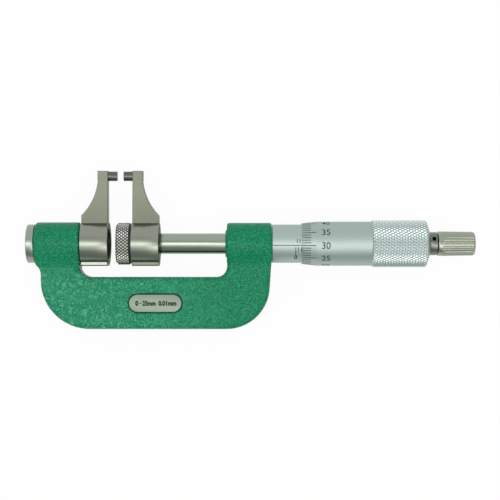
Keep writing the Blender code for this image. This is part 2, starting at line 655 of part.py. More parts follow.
def build_spindle(parent, steel):
    radius = SPINDLE_DIAMETER / 2.0
    spigot = SPIGOT_DIAMETER / 2.0
    tip = nut_front + SPIGOT_RECESS
    socket = SOCKET_DIAMETER / 2.0
    spindle = add_object("spindle", turned([
        (tip, 0.0), (tip, spigot - EDGE_BREAK), (tip + EDGE_BREAK, spigot), (shoulder, spigot),
        (shoulder, radius), (spindle_rear, radius), (spindle_rear, socket),
        (spindle_rear - SOCKET_DEPTH, socket),
        (spindle_rear - SOCKET_DEPTH, 0.0)], ROUND_STEPS), steel, parent)

    keyway_front = key_station - (MEASURING_RANGE - READING) - KEY_DIAMETER / 2.0 - SEAT_GAP
    keyway_rear = key_station + READING + KEY_DIAMETER / 2.0 + SEAT_GAP
    half = KEYWAY_WIDTH / 2.0
    floor = -radius + KEYWAY_DEPTH
    keyway = prism([(keyway_front, -half, floor), (keyway_rear, -half, floor),
                    (keyway_rear, half, floor), (keyway_front, half, floor)],
                   (0.0, 0.0, -2.0 * KEYWAY_DEPTH))
    flat_base = spigot - SPIGOT_FLAT
    flat = prism([(nut_back - 2.0 * RUN_OUT, -radius, flat_base), (shoulder - RUN_OUT, -radius, flat_base),
                  (shoulder - RUN_OUT, radius, flat_base), (nut_back - 2.0 * RUN_OUT, radius, flat_base)],
                 (0.0, 0.0, 2.0 * SPIGOT_FLAT))
    cut(spindle, add_tool("keyway", keyway, parent), add_tool("spigot_flat", flat, parent))
    for angle in (90.0, -90.0):
        hole = upright(rod(socket / 2.0, radius + RUN_OUT, RETAINER_DIAMETER + 2.0 * CLOSE_FIT, 16), angle)
        hole = move(hole, (spindle_rear - RETAINER_FROM_END, 0.0, 0.0))
        cut(spindle, add_tool("retainer_hole_" + ("top" if angle > 0.0 else "bottom"), hole, parent))


def build_moving_jaw(parent, steel, carbide):
    jaw = build_jaw("moving_jaw", moving_arm_face, 1.0, parent, steel)
    seat = SPINDLE_DIAMETER / 2.0 + SEAT_GAP
    spigot_hole = SPIGOT_DIAMETER / 2.0 + SEAT_GAP
    floor = moving_hub_outer - SEAT_DEPTH
    bore = [(moving_hub_inner - RUN_OUT, 0.0), (moving_hub_inner - RUN_OUT, spigot_hole),
            (floor, spigot_hole), (floor, seat), (moving_hub_outer - EDGE_BREAK, seat),
            (moving_hub_outer + RUN_OUT, seat + EDGE_BREAK + RUN_OUT), (moving_hub_outer + RUN_OUT, 0.0)]
    cutter = add_tool("moving_jaw_bore", turned(bore, INNER_STEPS), parent)
    flat_base = SPIGOT_DIAMETER / 2.0 - SPIGOT_FLAT + SEAT_GAP
    reach = 2.0 * seat
    flat = prism([(moving_hub_inner - 2.0 * RUN_OUT, -reach, flat_base),
                  (floor - SEAT_GAP - RUN_OUT, -reach, flat_base),
                  (floor - SEAT_GAP - RUN_OUT, reach, flat_base),
                  (moving_hub_inner - 2.0 * RUN_OUT, reach, flat_base)], (0.0, 0.0, reach))
    cut(cutter, add_tool("moving_jaw_flat", flat, parent))
    cut(jaw, cutter)
    build_pin("moving_pin", moving_arm_face, 1.0, parent, carbide)


def build_jaw_nut(parent, steel):
    radius = NUT_DIAMETER / 2.0
    collar = NUT_COLLAR_DIAMETER / 2.0
    hole = SPIGOT_DIAMETER / 2.0 + SEAT_GAP
    disc_back = nut_back - NUT_COLLAR_LENGTH
    before = [(nut_front, hole), (nut_front, radius - NUT_CHAMFER)]
    after = [(disc_back, radius - KNURL_DEPTH), (disc_back, collar), (nut_back, collar),
             (nut_back, hole)]
    add_object("jaw_nut", knurled(before, after, nut_front + NUT_CHAMFER, disc_back - EDGE_BREAK,
                                  radius, NUT_KNURL_CELLS, NUT_KNURL_ROWS), steel, parent)


def build_coupling(parent, steel):
    """Ball and two radial pins: they join the spindle, which only slides, to the turning screw."""
    ball_center = spindle_rear - SOCKET_DEPTH + CLOSE_FIT + BALL_DIAMETER / 2.0
    ball = bmesh.new()
    bmesh.ops.create_uvsphere(ball, u_segments=12, v_segments=8, radius=BALL_DIAMETER / 2.0)
    add_object("thrust_ball", move(ball, (ball_center, 0.0, 0.0)), steel, parent)

    foot = SOCKET_DIAMETER / 2.0 - RETAINER_GROOVE_DEPTH
    top = SPINDLE_DIAMETER / 2.0 - CLOSE_FIT
    for number, angle in enumerate((90.0, -90.0), start=1):
        pin = upright(rod(foot, top, RETAINER_DIAMETER, 16), angle)
        add_object("retaining_pin_" + str(number),
                   move(pin, (spindle_rear - RETAINER_FROM_END, 0.0, 0.0)), steel, parent)


def build_barrel(parent, steel):
    """The barrel is pressed into the frame; its split rear end holds the thread."""
    outside = BARREL_DIAMETER / 2.0
    bore = SPINDLE_DIAMETER / 2.0 + SEAT_GAP
    thread = THREAD_DIAMETER / 2.0 + SEAT_GAP
    barrel = add_object("barrel", turned([
        (barrel_front, bore), (barrel_front, outside), (barrel_rear, outside),
        (barrel_rear, thread), (thread_front, thread), (thread_front, bore)], INNER_STEPS),
        steel, parent)
    for i in range(SLIT_COUNT):
        slit = prism([(barrel_rear - SLIT_LENGTH, -SLIT_WIDTH / 2.0, thread / 2.0),
                      (barrel_rear + RUN_OUT, -SLIT_WIDTH / 2.0, thread / 2.0),
                      (barrel_rear + RUN_OUT, SLIT_WIDTH / 2.0, thread / 2.0),
                      (barrel_rear - SLIT_LENGTH, SLIT_WIDTH / 2.0, thread / 2.0)],
                     (0.0, 0.0, outside))
        slot = add_tool("slit_" + str(i + 1), slit, parent)
        slot.rotation_euler.x = math.tau * i / SLIT_COUNT
        cut(barrel, slot)


def build_adjuster(parent, steel):
    rear = barrel_rear - ADJUSTER_FROM_END
    front = rear - ADJUSTER_LENGTH
    outside = ADJUSTER_DIAMETER / 2.0
    hole = BARREL_DIAMETER / 2.0 + CLOSE_FIT
    nut = add_object("adjusting_nut", turned([
        (front, hole), (front, outside), (rear, outside), (rear, hole)], FINE_STEPS),
        steel, parent)
    half = ADJUSTER_NOTCH / 2.0
    reach = outside + RUN_OUT
    notch = prism([(rear - ADJUSTER_NOTCH, -half, -reach), (rear + RUN_OUT, -half, -reach),
                   (rear + RUN_OUT, half, -reach), (rear - ADJUSTER_NOTCH, half, -reach)],
                  (0.0, 0.0, 2.0 * reach))
    cut(nut, add_tool("adjuster_notch", notch, parent))


def build_sleeve(parent, chrome):
    outside = SLEEVE_DIAMETER / 2.0
    inside = BARREL_DIAMETER / 2.0 + SEAT_GAP
    front = right_boss_outer + CLOSE_FIT
    add_object("graduated_sleeve", turned([
        (front, inside), (front, outside), (sleeve_rear, outside), (sleeve_rear, inside)]),
        chrome, parent)


def build_screw(parent, steel):
    journal = SOCKET_DIAMETER / 2.0 - SEAT_GAP
    groove = journal - RETAINER_GROOVE_DEPTH
    groove_half = RETAINER_DIAMETER / 2.0 + SEAT_GAP
    groove_middle = spindle_rear - RETAINER_FROM_END
    journal_front = spindle_rear - SOCKET_DEPTH + BALL_DIAMETER + 2.0 * CLOSE_FIT
    thread = THREAD_DIAMETER / 2.0
    taper_front = thimble_wall + SEAT_GAP
    taper_rear = thimble_rear - SEAT_GAP
    hole = STEM_THREAD_DIAMETER / 2.0 + SEAT_GAP
    hole_floor = neck_front - STEM_THREAD_LENGTH - SEAT_GAP
    add_object("micrometer_screw", turned([
        (journal_front, 0.0), (journal_front, journal), (groove_middle - groove_half, journal),
        (groove_middle - groove_half, groove), (groove_middle + groove_half, groove),
        (groove_middle + groove_half, journal), (spindle_rear + SEAT_GAP, journal),
        (spindle_rear + SEAT_GAP, thread), (taper_front, thread),
        (taper_front, TAPER_FRONT_DIAMETER / 2.0), (taper_rear, TAPER_REAR_DIAMETER / 2.0),
        (taper_rear, hole), (hole_floor, hole), (hole_floor, 0.0)], FINE_STEPS), steel, parent)


def build_thimble(parent, chrome):
    edge = THIMBLE_EDGE_DIAMETER / 2.0
    body = THIMBLE_DIAMETER / 2.0
    grip = GRIP_DIAMETER / 2.0
    tail = TAIL_DIAMETER / 2.0
    bore = SLEEVE_DIAMETER / 2.0 + CLOSE_FIT
    taper_front = TAPER_FRONT_DIAMETER / 2.0 + SEAT_GAP
    taper_rear = TAPER_REAR_DIAMETER / 2.0 + SEAT_GAP
    before = [(thimble_wall, bore), (thimble_front, bore), (thimble_front, edge),
              (thimble_front + THIMBLE_BEVEL_LENGTH, body), (grip_front, body)]
    after = [(grip_rear, grip - GRIP_CHAMFER), (thimble_rear, tail), (thimble_rear, taper_rear),
             (thimble_wall, taper_front)]
    add_object("thimble", knurled(before, after, grip_front + GRIP_CHAMFER, grip_rear - GRIP_CHAMFER,
                                  grip, GRIP_KNURL_CELLS, GRIP_KNURL_ROWS), chrome, parent)


def saw_teeth(base, tips, inner, outer, facets=3):
    """A ring from the plane base, with saw teeth whose points reach the plane tips."""
    bm = bmesh.new()
    root = tips - math.copysign(TOOTH_HEIGHT, tips - base)
    steps = TOOTH_COUNT * facets

    def ring_point(x, radius, step):
        angle = math.tau * step / steps
        return bm.verts.new((x, radius * math.sin(angle), radius * math.cos(angle)))

    base_in = [ring_point(base, inner, i) for i in range(steps)]
    base_out = [ring_point(base, outer, i) for i in range(steps)]
    low_in = [ring_point(root, inner, i * facets) for i in range(TOOTH_COUNT)]
    low_out = [ring_point(root, outer, i * facets) for i in range(TOOTH_COUNT)]
    for tooth in range(TOOTH_COUNT):
        after = (tooth + 1) % TOOTH_COUNT
        ramp_in, ramp_out = [low_in[tooth]], [low_out[tooth]]
        for i in range(1, facets + 1):
            x = root + (tips - root) * i / facets
            ramp_in.append(ring_point(x, inner, tooth * facets + i))
            ramp_out.append(ring_point(x, outer, tooth * facets + i))
        for i in range(facets):
            here = tooth * facets + i
            there = (here + 1) % steps
            last = i == facets - 1
            bm.faces.new((base_in[here], base_in[there], base_out[there], base_out[here]))
            bm.faces.new((ramp_in[i], ramp_out[i], ramp_out[i + 1], ramp_in[i + 1]))
            corner_out = [low_out[after]] if last else []
            corner_in = [low_in[after]] if last else []
            bm.faces.new([base_out[here], base_out[there]] + corner_out
                         + [ramp_out[i + 1], ramp_out[i]])
            bm.faces.new([base_in[here], base_in[there]] + corner_in + [ramp_in[i + 1], ramp_in[i]])
        bm.faces.new((ramp_in[-1], ramp_out[-1], low_out[after], low_in[after]))
    bmesh.ops.recalc_face_normals(bm, faces=bm.faces)
    return bm


def build_ratchet_stem(parent, steel):
    thread = STEM_THREAD_DIAMETER / 2.0
    neck = NECK_DIAMETER / 2.0
    ring = TOOTH_RING_DIAMETER / 2.0
    collar = ring - CLOSE_FIT
    shaft = STEM_SHAFT_DIAMETER / 2.0
    tooth_root = tooth_tips - TOOTH_HEIGHT
    shaft_end = screw_head_seat() - SEAT_GAP
    hole = CAP_SCREW_SHANK / 2.0 + SEAT_GAP
    hole_floor = screw_head_seat() - CAP_SCREW_LENGTH - SEAT_GAP
    stem = add_object("ratchet_stem", turned([
        (neck_front - STEM_THREAD_LENGTH, 0.0), (neck_front - STEM_THREAD_LENGTH, thread),
        (neck_front, thread), (neck_front, neck), (neck_rear - EDGE_BREAK / 2.0, neck),
        (neck_rear, neck - EDGE_BREAK / 2.0), (neck_rear, collar),
        (tooth_root - SEAT_GAP / 2.0, collar), (tooth_root - SEAT_GAP / 2.0, shaft),
        (shaft_end, shaft), (shaft_end, hole), (hole_floor, hole), (hole_floor, 0.0)],
        3 * TOOTH_COUNT), steel, parent)
    teeth = saw_teeth(tooth_root - SEAT_GAP, tooth_tips, shaft - EDGE_BREAK, ring)
    unite(stem, add_tool("stem_teeth_form", teeth, parent))
    spanner = upright(rod(neck - SPANNER_HOLE_DEPTH, neck + RUN_OUT, SPANNER_HOLE_DIAMETER, 16),
                      SPANNER_HOLE_ANGLE)
    spanner = move(spanner, (neck_front + SPANNER_HOLE_FROM_FRONT, 0.0, 0.0))
    cut(stem, add_tool("spanner_hole", spanner, parent))


def screw_head_seat():
    """Where the ratchet screw's head bears, inside the knob's rear recess."""
    return knob_rear - CAP_SCREW_RECESS - CAP_SCREW_HEAD_LENGTH


def clutch_rear():
    return tooth_tips + SEAT_GAP + CLUTCH_LENGTH


def knob_web_rear():
    return screw_head_seat() - 2.0 * SEAT_GAP


def build_clutch(parent, steel):
    """The sliding half of the ratchet, drawn lifted just clear of the stem's teeth."""
    inner = STEM_SHAFT_DIAMETER / 2.0 + SEAT_GAP
    outer = TOOTH_RING_DIAMETER / 2.0
    add_object("ratchet_ring", saw_teeth(clutch_rear(), tooth_tips + SEAT_GAP, inner, outer),
               steel, parent)


def build_spring(parent, steel):
    start = clutch_rear() + SEAT_GAP + SPRING_WIRE / 2.0
    end = knob_web_rear() - KNOB_WEB - SEAT_GAP - SPRING_WIRE / 2.0
    radius = TOOTH_RING_DIAMETER / 2.0 - SPRING_WIRE / 2.0 - CLOSE_FIT
    count = int(SPRING_TURNS * 12)
    curve = bpy.data.curves.new("ratchet_spring", "CURVE")
    curve.dimensions = "3D"
    curve.bevel_depth = SPRING_WIRE / 2.0
    curve.bevel_resolution = 1
    curve.use_fill_caps = True
    curve.materials.append(steel)
    spline = curve.splines.new("POLY")
    spline.points.add(count)
    for i, point in enumerate(spline.points):
        share = i / count
        angle = math.tau * SPRING_TURNS * share
        point.co = (start + (end - start) * share, radius * math.sin(angle),
                    radius * math.cos(angle), 1.0)
    spring = bpy.data.objects.new("ratchet_spring", curve)
    bpy.context.collection.objects.link(spring)
    spring.parent = parent


def build_knob(parent, steel):
    """The knob's inside holds the clutch and spring in front of a web, and a screw behind it."""
    front = KNOB_DIAMETER / 2.0
    rear = KNOB_REAR_DIAMETER / 2.0
    band_end = knob_front + KNOB_BAND_LENGTH
    flutes_end = knob_rear - KNOB_END_ROUNDING
    chamber = TOOTH_RING_DIAMETER / 2.0 + SEAT_GAP
    shaft_hole = STEM_SHAFT_DIAMETER / 2.0 + SEAT_GAP
    recess = CAP_SCREW_HEAD / 2.0 + SEAT_GAP
    steps = FLUTE_COUNT * 3
    bm = turned([
        (knob_front, 0.0), (knob_front, front - EDGE_BREAK), (knob_front + EDGE_BREAK, front),
        (band_end, front), (band_end + FLUTE_DEPTH, front), (flutes_end, rear),
        (knob_rear - KNOB_END_ROUNDING / 3.0, rear - KNOB_END_ROUNDING / 3.0),
        (knob_rear, rear - KNOB_END_ROUNDING), (knob_rear, 0.0)], steps)
    for vert in bm.verts:
        radius = math.hypot(vert.co.y, vert.co.z)
        fluted = band_end + FLUTE_DEPTH / 2.0 < vert.co.x < knob_rear - EDGE_BREAK
        if fluted and radius > rear - KNOB_END_ROUNDING:
            step = round(math.atan2(vert.co.y, vert.co.z) / math.tau * steps)
            if step % 3 == 0:
                vert.co.yz *= (radius - FLUTE_DEPTH) / radius
    knob = add_object("ratchet_knob", bm, steel, parent)
    web_rear = knob_web_rear()
    bore = [(knob_front - RUN_OUT, 0.0), (knob_front - RUN_OUT, chamber), (web_rear - KNOB_WEB, chamber),
            (web_rear - KNOB_WEB, shaft_hole), (web_rear, shaft_hole), (web_rear, recess),
            (knob_rear + RUN_OUT, recess), (knob_rear + RUN_OUT, 0.0)]
    cut(knob, add_tool("knob_bore", turned(bore, INNER_STEPS), parent))


def build_ratchet_screw(parent, steel):
    seat = screw_head_seat()
    head = CAP_SCREW_HEAD / 2.0
    shank = CAP_SCREW_SHANK / 2.0
    top = seat + CAP_SCREW_HEAD_LENGTH
    tip = seat - CAP_SCREW_LENGTH
    screw = add_object("ratchet_screw", turned([
        (tip, 0.0), (tip, shank), (seat, shank), (seat, head), (top - EDGE_BREAK, head),
        (top, head - EDGE_BREAK), (top, 0.0)], FINE_STEPS), steel, parent)
    half = SLOT_WIDTH / 2.0
    slot = prism([(top - SLOT_DEPTH, -head - RUN_OUT, -half), (top + RUN_OUT, -head - RUN_OUT, -half),
                  (top + RUN_OUT, -head - RUN_OUT, half), (top - SLOT_DEPTH, -head - RUN_OUT, half)],
                 (0.0, 2.0 * (head + RUN_OUT), 0.0))
    cut(screw, add_tool("ratchet_screw_slot", slot, parent))


def spindle_axis():
    """Parent of every piece: it stands the origin under the middle of the instrument."""
    axis = bpy.data.objects.new("spindle_axis", None)
    bpy.context.collection.objects.link(axis)
    axis.location = (-(cap_end + knob_rear) / 2.0, -(ARM_HEIGHT + bow_bottom) / 2.0,
                     GRIP_DIAMETER / 2.0)
    return axis


def build():
    remove_old_objects()
    paint = finish("green_hammer_paint", (0.020, 0.235, 0.110), 0.45, 0.0)
    steel = finish("ground_steel", (0.36, 0.37, 0.33), 0.32)
    dark_steel = finish("dark_steel", (0.12, 0.12, 0.12), 0.45)
    carbide = finish("lapped_carbide", (0.30, 0.30, 0.28), 0.25)
    chrome = finish("satin_chrome", (0.52, 0.58, 0.55), 0.38)
    plate_steel = finish("plate_steel", (0.46, 0.47, 0.43), 0.40)

    axis = spindle_axis()
    build_frame(axis, paint)
    build_range_plate(axis, plate_steel)
    build_fixed_jaw(axis, steel, carbide)
    build_fixed_jaw_fastening(axis, steel, dark_steel)
    build_guide_key(axis, steel, dark_steel)
    build_barrel(axis, steel)
    build_adjuster(axis, steel)
    build_sleeve(axis, chrome)
    build_spindle(axis, steel)
    build_moving_jaw(axis, steel, carbide)
    build_jaw_nut(axis, steel)
    build_coupling(axis, steel)
    build_screw(axis, steel)
    build_thimble(axis, chrome)
    build_ratchet_stem(axis, steel)
    build_clutch(axis, steel)
    build_spring(axis, steel)
    build_knob(axis, steel)
    build_ratchet_screw(axis, steel)


build()
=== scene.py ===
# Studio picture of a jaw micrometer that lies on its back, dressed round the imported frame.
# Shapes are worked out in millimetres round the spindle's axis: x along it, y up the jaws, z up.
import math

import bmesh
import bpy
import numpy as np
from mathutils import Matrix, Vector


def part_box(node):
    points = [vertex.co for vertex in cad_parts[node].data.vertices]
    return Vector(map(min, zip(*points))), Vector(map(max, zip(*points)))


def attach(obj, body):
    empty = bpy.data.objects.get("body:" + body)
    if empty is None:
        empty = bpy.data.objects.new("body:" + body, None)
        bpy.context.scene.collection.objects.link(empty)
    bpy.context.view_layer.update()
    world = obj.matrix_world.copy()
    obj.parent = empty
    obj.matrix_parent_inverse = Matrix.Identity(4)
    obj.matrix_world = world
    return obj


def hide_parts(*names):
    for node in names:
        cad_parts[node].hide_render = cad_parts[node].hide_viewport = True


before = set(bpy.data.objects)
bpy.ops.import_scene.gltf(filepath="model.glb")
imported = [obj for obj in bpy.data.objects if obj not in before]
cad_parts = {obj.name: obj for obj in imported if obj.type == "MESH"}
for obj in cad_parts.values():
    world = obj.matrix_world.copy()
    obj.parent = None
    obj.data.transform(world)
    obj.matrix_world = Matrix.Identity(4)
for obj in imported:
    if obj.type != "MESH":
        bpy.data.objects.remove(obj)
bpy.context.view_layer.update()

mm = 0.001
scene = bpy.context.scene
sleeveLow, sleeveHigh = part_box("graduated_sleeve")
# the point of the axis beside the fixed measuring face
origin = np.array([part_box("fixed_pin")[1].x, (sleeveLow.y + sleeveHigh.y) / 2,
                   (sleeveLow.z + sleeveHigh.z) / 2]) / mm
finishes = {}    # the pieces' materials by name
past = 1.0    # how far a cutting tool reaches out of the piece that it cuts
print("frame loaded")


# Box of a CAD node in millimetres from the origin above.
def localBox(node):
    return [np.array(corner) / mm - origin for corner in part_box(node)]


# The two ends of a CAD node along the spindle.
def span(node):
    return [corner[0] for corner in localBox(node)]


# Puts a piece on the body that carries it and hides the CAD nodes that it stands for. Its slot name is
# not used.
def dress(piece, body, slotName, *replaced):
    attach(piece, body)
    if replaced:
        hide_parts(*replaced)


# Meshes from arrays

# Quads between neighbouring rows and columns of a grid. Its last column is joined to its first, and
# on request its last row too.
def gridFaces(rows, columns, closedRows=False):
    i = np.arange(rows if closedRows else rows - 1)[:, None]
    j = np.arange(columns)[None, :]
    nextRow = (i + 1) % rows
    nextColumn = (j + 1) % columns
    corners = [i * columns + j, nextRow * columns + j, nextRow * columns + nextColumn,
               i * columns + nextColumn]
    return np.stack(np.broadcast_arrays(*corners), -1).reshape(-1, 4)


# Six times the volume inside a closed mesh is the sum of v0 . (v1 x v2) over its triangles; it is
# negative where the faces look inwards.
def signedVolume(verts, faces):
    total = 0.0
    for group in faces:
        first = verts[group[:, 0]]
        for k in range(1, group.shape[1] - 1):
            total += np.einsum("ij,ij->", first, np.cross(verts[group[:, k]], verts[group[:, k + 1]]))
    return total


def newObject(name, data):
    item = bpy.data.objects.new(name, data)
    scene.collection.objects.link(item)
    return item


# Smooth shading, with sharp edges where two faces meet at more than an angle.
def shadeMesh(mesh, sharpAngle=32.0):
    mesh.shade_smooth()
    mesh.set_sharp_from_angle(angle=math.radians(sharpAngle))


# Makes one object from corner points in millimetres and arrays of faces, one array for each size.
def addPiece(name, verts, faces, finish=None, sharpAngle=32.0):
    verts = np.asarray(verts, float).reshape(-1, 3)
    faces = [np.asarray(group) for group in faces if len(group)]
    if signedVolume(verts - verts.mean(0), faces) < 0:
        faces = [group[:, ::-1] for group in faces]
    mesh = bpy.data.meshes.new(name)
    mesh.from_pydata(((verts + origin) * mm).tolist(), [],
                     [face for group in faces for face in group.tolist()])
    shadeMesh(mesh, sharpAngle)
    if finish:
        mesh.materials.append(finishes[finish])
    return newObject(name, mesh)


# Carries a profile of (x, radius) points round the axis: the point at angle a goes to
# (x, r sin a, r cos a), so a = 0 faces up and a grows towards the jaws' tips. A profile that starts
# and ends on the axis closes in two poles, any other closes on itself.
def turnedGrid(profile, steps, relief=None):
    profile = np.asarray(profile, float)
    solid = profile[0, 1] == 0.0
    rings = profile[1:-1] if solid else profile
    angles = np.arange(steps) * (2 * math.pi / steps)
    x, radius = np.broadcast_arrays(rings[:, :1], angles)[0], np.repeat(rings[:, 1:], steps, 1)
    if relief:
        radius = relief(x, radius, np.broadcast_to(angles, x.shape))
    verts = np.stack([x, radius * np.sin(angles), radius * np.cos(angles)], -1).reshape(-1, 3)
    quads = gridFaces(len(rings), steps, closedRows=not solid)
    if not solid:
        return verts, [quads]
    poles = np.array([[profile[0, 0], 0.0, 0.0], [profile[-1, 0], 0.0, 0.0]])
    here = np.arange(steps)
    there = (here + 1) % steps
    last = (len(rings) - 1) * steps
    front = np.stack([np.full(steps, len(verts)), here, there], -1)
    rear = np.stack([np.full(steps, len(verts) + 1), last + there, last + here], -1)
    return np.concatenate([verts, poles]), [quads, front, rear]


# Rounds the corners of a profile: each corner P between its neighbours A and B becomes a parabola
# from P + t(A - P) to P + t(B - P), with t set by the radius and at most 0.45.
def softened(points, radius, closed=False, count=4):
    points = np.asarray(points, float)
    result = []
    for index, point in enumerate(points):
        if not closed and index in (0, len(points) - 1):
            result.append(point)
            continue
        before = points[index - 1] - point
        after = points[(index + 1) % len(points)] - point
        t = np.linspace(0.0, 1.0, count)[:, None]
        start = point + before * min(0.45, radius / np.linalg.norm(before))
        end = point + after * min(0.45, radius / np.linalg.norm(after))
        result.extend((1 - t) ** 2 * start + 2 * t * (1 - t) * point + t ** 2 * end)
    return np.array(result)


# Adds points to a profile so that no step between x = low and x = high is longer than step.
def refined(profile, low, high, step):
    profile = np.asarray(profile, float)
    result = [profile[:1]]
    for a, b in zip(profile[:-1], profile[1:]):
        inside = min(a[0], b[0]) >= low - 1e-6 and max(a[0], b[0]) <= high + 1e-6
        count = max(1, math.ceil(abs(b[0] - a[0]) / step)) if inside else 1
        t = np.arange(1, count + 1)[:, None] / count
        result.append(a + (b - a) * t)
    return np.concatenate(result)


# An object's mesh with its modifiers applied.
def finalMesh(item):
    bpy.context.view_layer.update()
    evaluated = item.evaluated_get(bpy.context.evaluated_depsgraph_get())
    return bpy.data.meshes.new_from_object(evaluated)


# Replaces a piece's mesh by the result of a Boolean with each tool, and removes the tools.
def carve(piece, *tools, operation="DIFFERENCE"):
    for tool in tools:
        modifier = piece.modifiers.new("carve", "BOOLEAN")
        modifier.operation = operation
        modifier.solver = "EXACT"
        modifier.material_mode = "TRANSFER" if operation == "UNION" else "INDEX"
        modifier.object = tool
    old, mesh = piece.data, finalMesh(piece)
    piece.modifiers.clear()
    piece.data = mesh
    bpy.data.meshes.remove(old)
    for tool in tools:
        bpy.data.objects.remove(tool, do_unlink=True)
    shadeMesh(mesh)


def turnedPiece(name, profile, finish=None, steps=160, relief=None, sharpAngle=32.0,
                offset=(0.0, 0.0, 0.0)):
    verts, faces = turnedGrid(profile, steps, relief)
    return addPiece(name, verts + offset, faces, finish, sharpAngle)


# Profile of a solid turned in plain steps: from ends[k] to ends[k + 1] its radius is radii[k].
def stepped(ends, radii):
    profile = [(ends[0], 0.0)]
    for start, end, radius in zip(ends, ends[1:], radii):
        profile += [(start, radius), (end, radius)]
    return profile + [(ends[-1], 0.0)]


# The same solid as a piece, with its edges rounded.
def steppedPiece(name, ends, radii, edge, finish, steps=160, offset=(0.0, 0.0, 0.0)):
    return turnedPiece(name, softened(stepped(ends, radii), edge), finish, steps, offset=offset)


# Corner points, or centres of faces, of a piece in millimetres from the origin above.
def localPoints(items, field="co"):
    flat = np.zeros(len(items) * 3)
    items.foreach_get(field, flat)
    return flat.reshape(-1, 3) / mm - origin


# Gives a second material to the faces whose centres a test picks.
def secondMaterial(piece, finish, test):
    piece.data.materials.append(finishes[finish])
    picked = test(localPoints(piece.data.polygons, "center"))
    piece.data.polygons.foreach_set("material_index", picked.astype(np.int32))


# A plain round tool from x = start to x = end, moved off the axis or turned to point outwards at an
# angle.
def roundTool(start, end, radius, offset=(0.0, 0.0, 0.0), outwards=None, steps=64):
    verts, faces = turnedGrid(stepped([start, end], [radius]), steps)
    if outwards is not None:
        angle = math.radians(outwards)
        along = np.array([0.0, math.sin(angle), math.cos(angle)])
        across = np.array([0.0, math.cos(angle), -math.sin(angle)])
        verts = verts @ np.stack([along, across, [1.0, 0.0, 0.0]])
    return addPiece("tool", verts + offset, faces)


# A flat outline of (x, y) points carried along z through levels of (inset, z). z may be a function
# of y. Each level is the outline moved inwards by its inset along the corner's bisector, and at
# most five times as far at a sharp corner.
def layeredPiece(name, outline, levels, finish=None):
    outline = np.asarray(outline, float)
    following = np.roll(outline, -1, 0)
    normals = [np.stack([-side[:, 1], side[:, 0]], -1) / np.linalg.norm(side, axis=1)[:, None]
               for side in (outline - np.roll(outline, 1, 0), following - outline)]
    bisector = normals[0] + normals[1]
    bisector /= np.maximum((bisector * normals[0]).sum(1), 0.2)[:, None]
    area = (outline[:, 0] * following[:, 1] - following[:, 0] * outline[:, 1]).sum()
    inwards = bisector * math.copysign(1.0, area)
    rings = []
    for inset, z in levels:
        flat = outline + inwards * inset
        height = z(flat[:, 1]) if callable(z) else np.full(len(flat), float(z))
        rings.append(np.column_stack([flat, height]))
    count = len(outline)
    caps = np.stack([np.arange(count), (len(levels) - 1) * count + np.arange(count)[::-1]])
    return addPiece(name, np.concatenate(rings), [gridFaces(len(levels), count), caps], finish)


# A plain block between two opposite corners.
def blockTool(low, high):
    corners = [(low[0], low[1]), (high[0], low[1]), (high[0], high[1]), (low[0], high[1])]
    return layeredPiece("tool", corners, [(0.0, low[2]), (0.0, high[2])])


def arcPoints(center, radius, start, end, count):
    angles = np.radians(np.linspace(start, end, count))
    return np.stack([center[0] + radius * np.cos(angles), center[1] + radius * np.sin(angles)], -1)


def smoothStep(value, low, high):
    t = np.clip((value - low) / (high - low), 0.0, 1.0)
    return t * t * (3 - 2 * t)


# Materials

# Sets a node's sockets, each to a value or by a link. i3 stands for the node's fourth socket.
def connect(tree, node, sockets):
    for key, value in sockets.items():
        socket = node.inputs[int(key[1:]) if key[0] == "i" and key[1:].isdigit() else key]
        if isinstance(value, bpy.types.NodeSocket):
            tree.links.new(value, socket)
        else:
            socket.default_value = value


def addNode(tree, kind, settings=None, **sockets):
    node = tree.nodes.new("ShaderNode" + kind)
    for key, value in (settings or {}).items():
        setattr(node, key, value)
    connect(tree, node, sockets)
    return node


def combined(tree, kind, first, second=0.0, third=0.0):
    return addNode(tree, "Math", {"operation": kind}, i0=first, i1=second, i2=third).outputs[0]


# Maps the values from low to high onto those from toLow to toHigh, straight or on an S curve.
def mapped(tree, value, low, high, toLow=0.0, toHigh=1.0, smooth=False):
    kind = {"interpolation_type": "SMOOTHSTEP" if smooth else "LINEAR"}
    return addNode(tree, "MapRange", kind, i0=value, i1=low, i2=high, i3=toLow, i4=toHigh).outputs[0]


# Goes from a first colour to a second by a factor. Each is three numbers or comes from a socket.
def blended(tree, factor, *colors):
    first, second = [(*color, 1.0) if isinstance(color, tuple) else color for color in colors]
    return addNode(tree, "Mix", {"data_type": "RGBA"}, i0=factor, i6=first, i7=second).outputs[2]


def newGroup(name, inputs, outputs):
    group = bpy.data.node_groups.new(name, "ShaderNodeTree")
    for socketName, kind, value in inputs:
        socket = group.interface.new_socket(socketName, in_out="INPUT", socket_type=kind)
        if value is not None:
            socket.default_value = value
    for socketName in outputs:
        group.interface.new_socket(socketName, in_out="OUTPUT", socket_type="NodeSocketFloat")
    return group, group.nodes.new("NodeGroupInput").outputs, group.nodes.new("NodeGroupOutput")


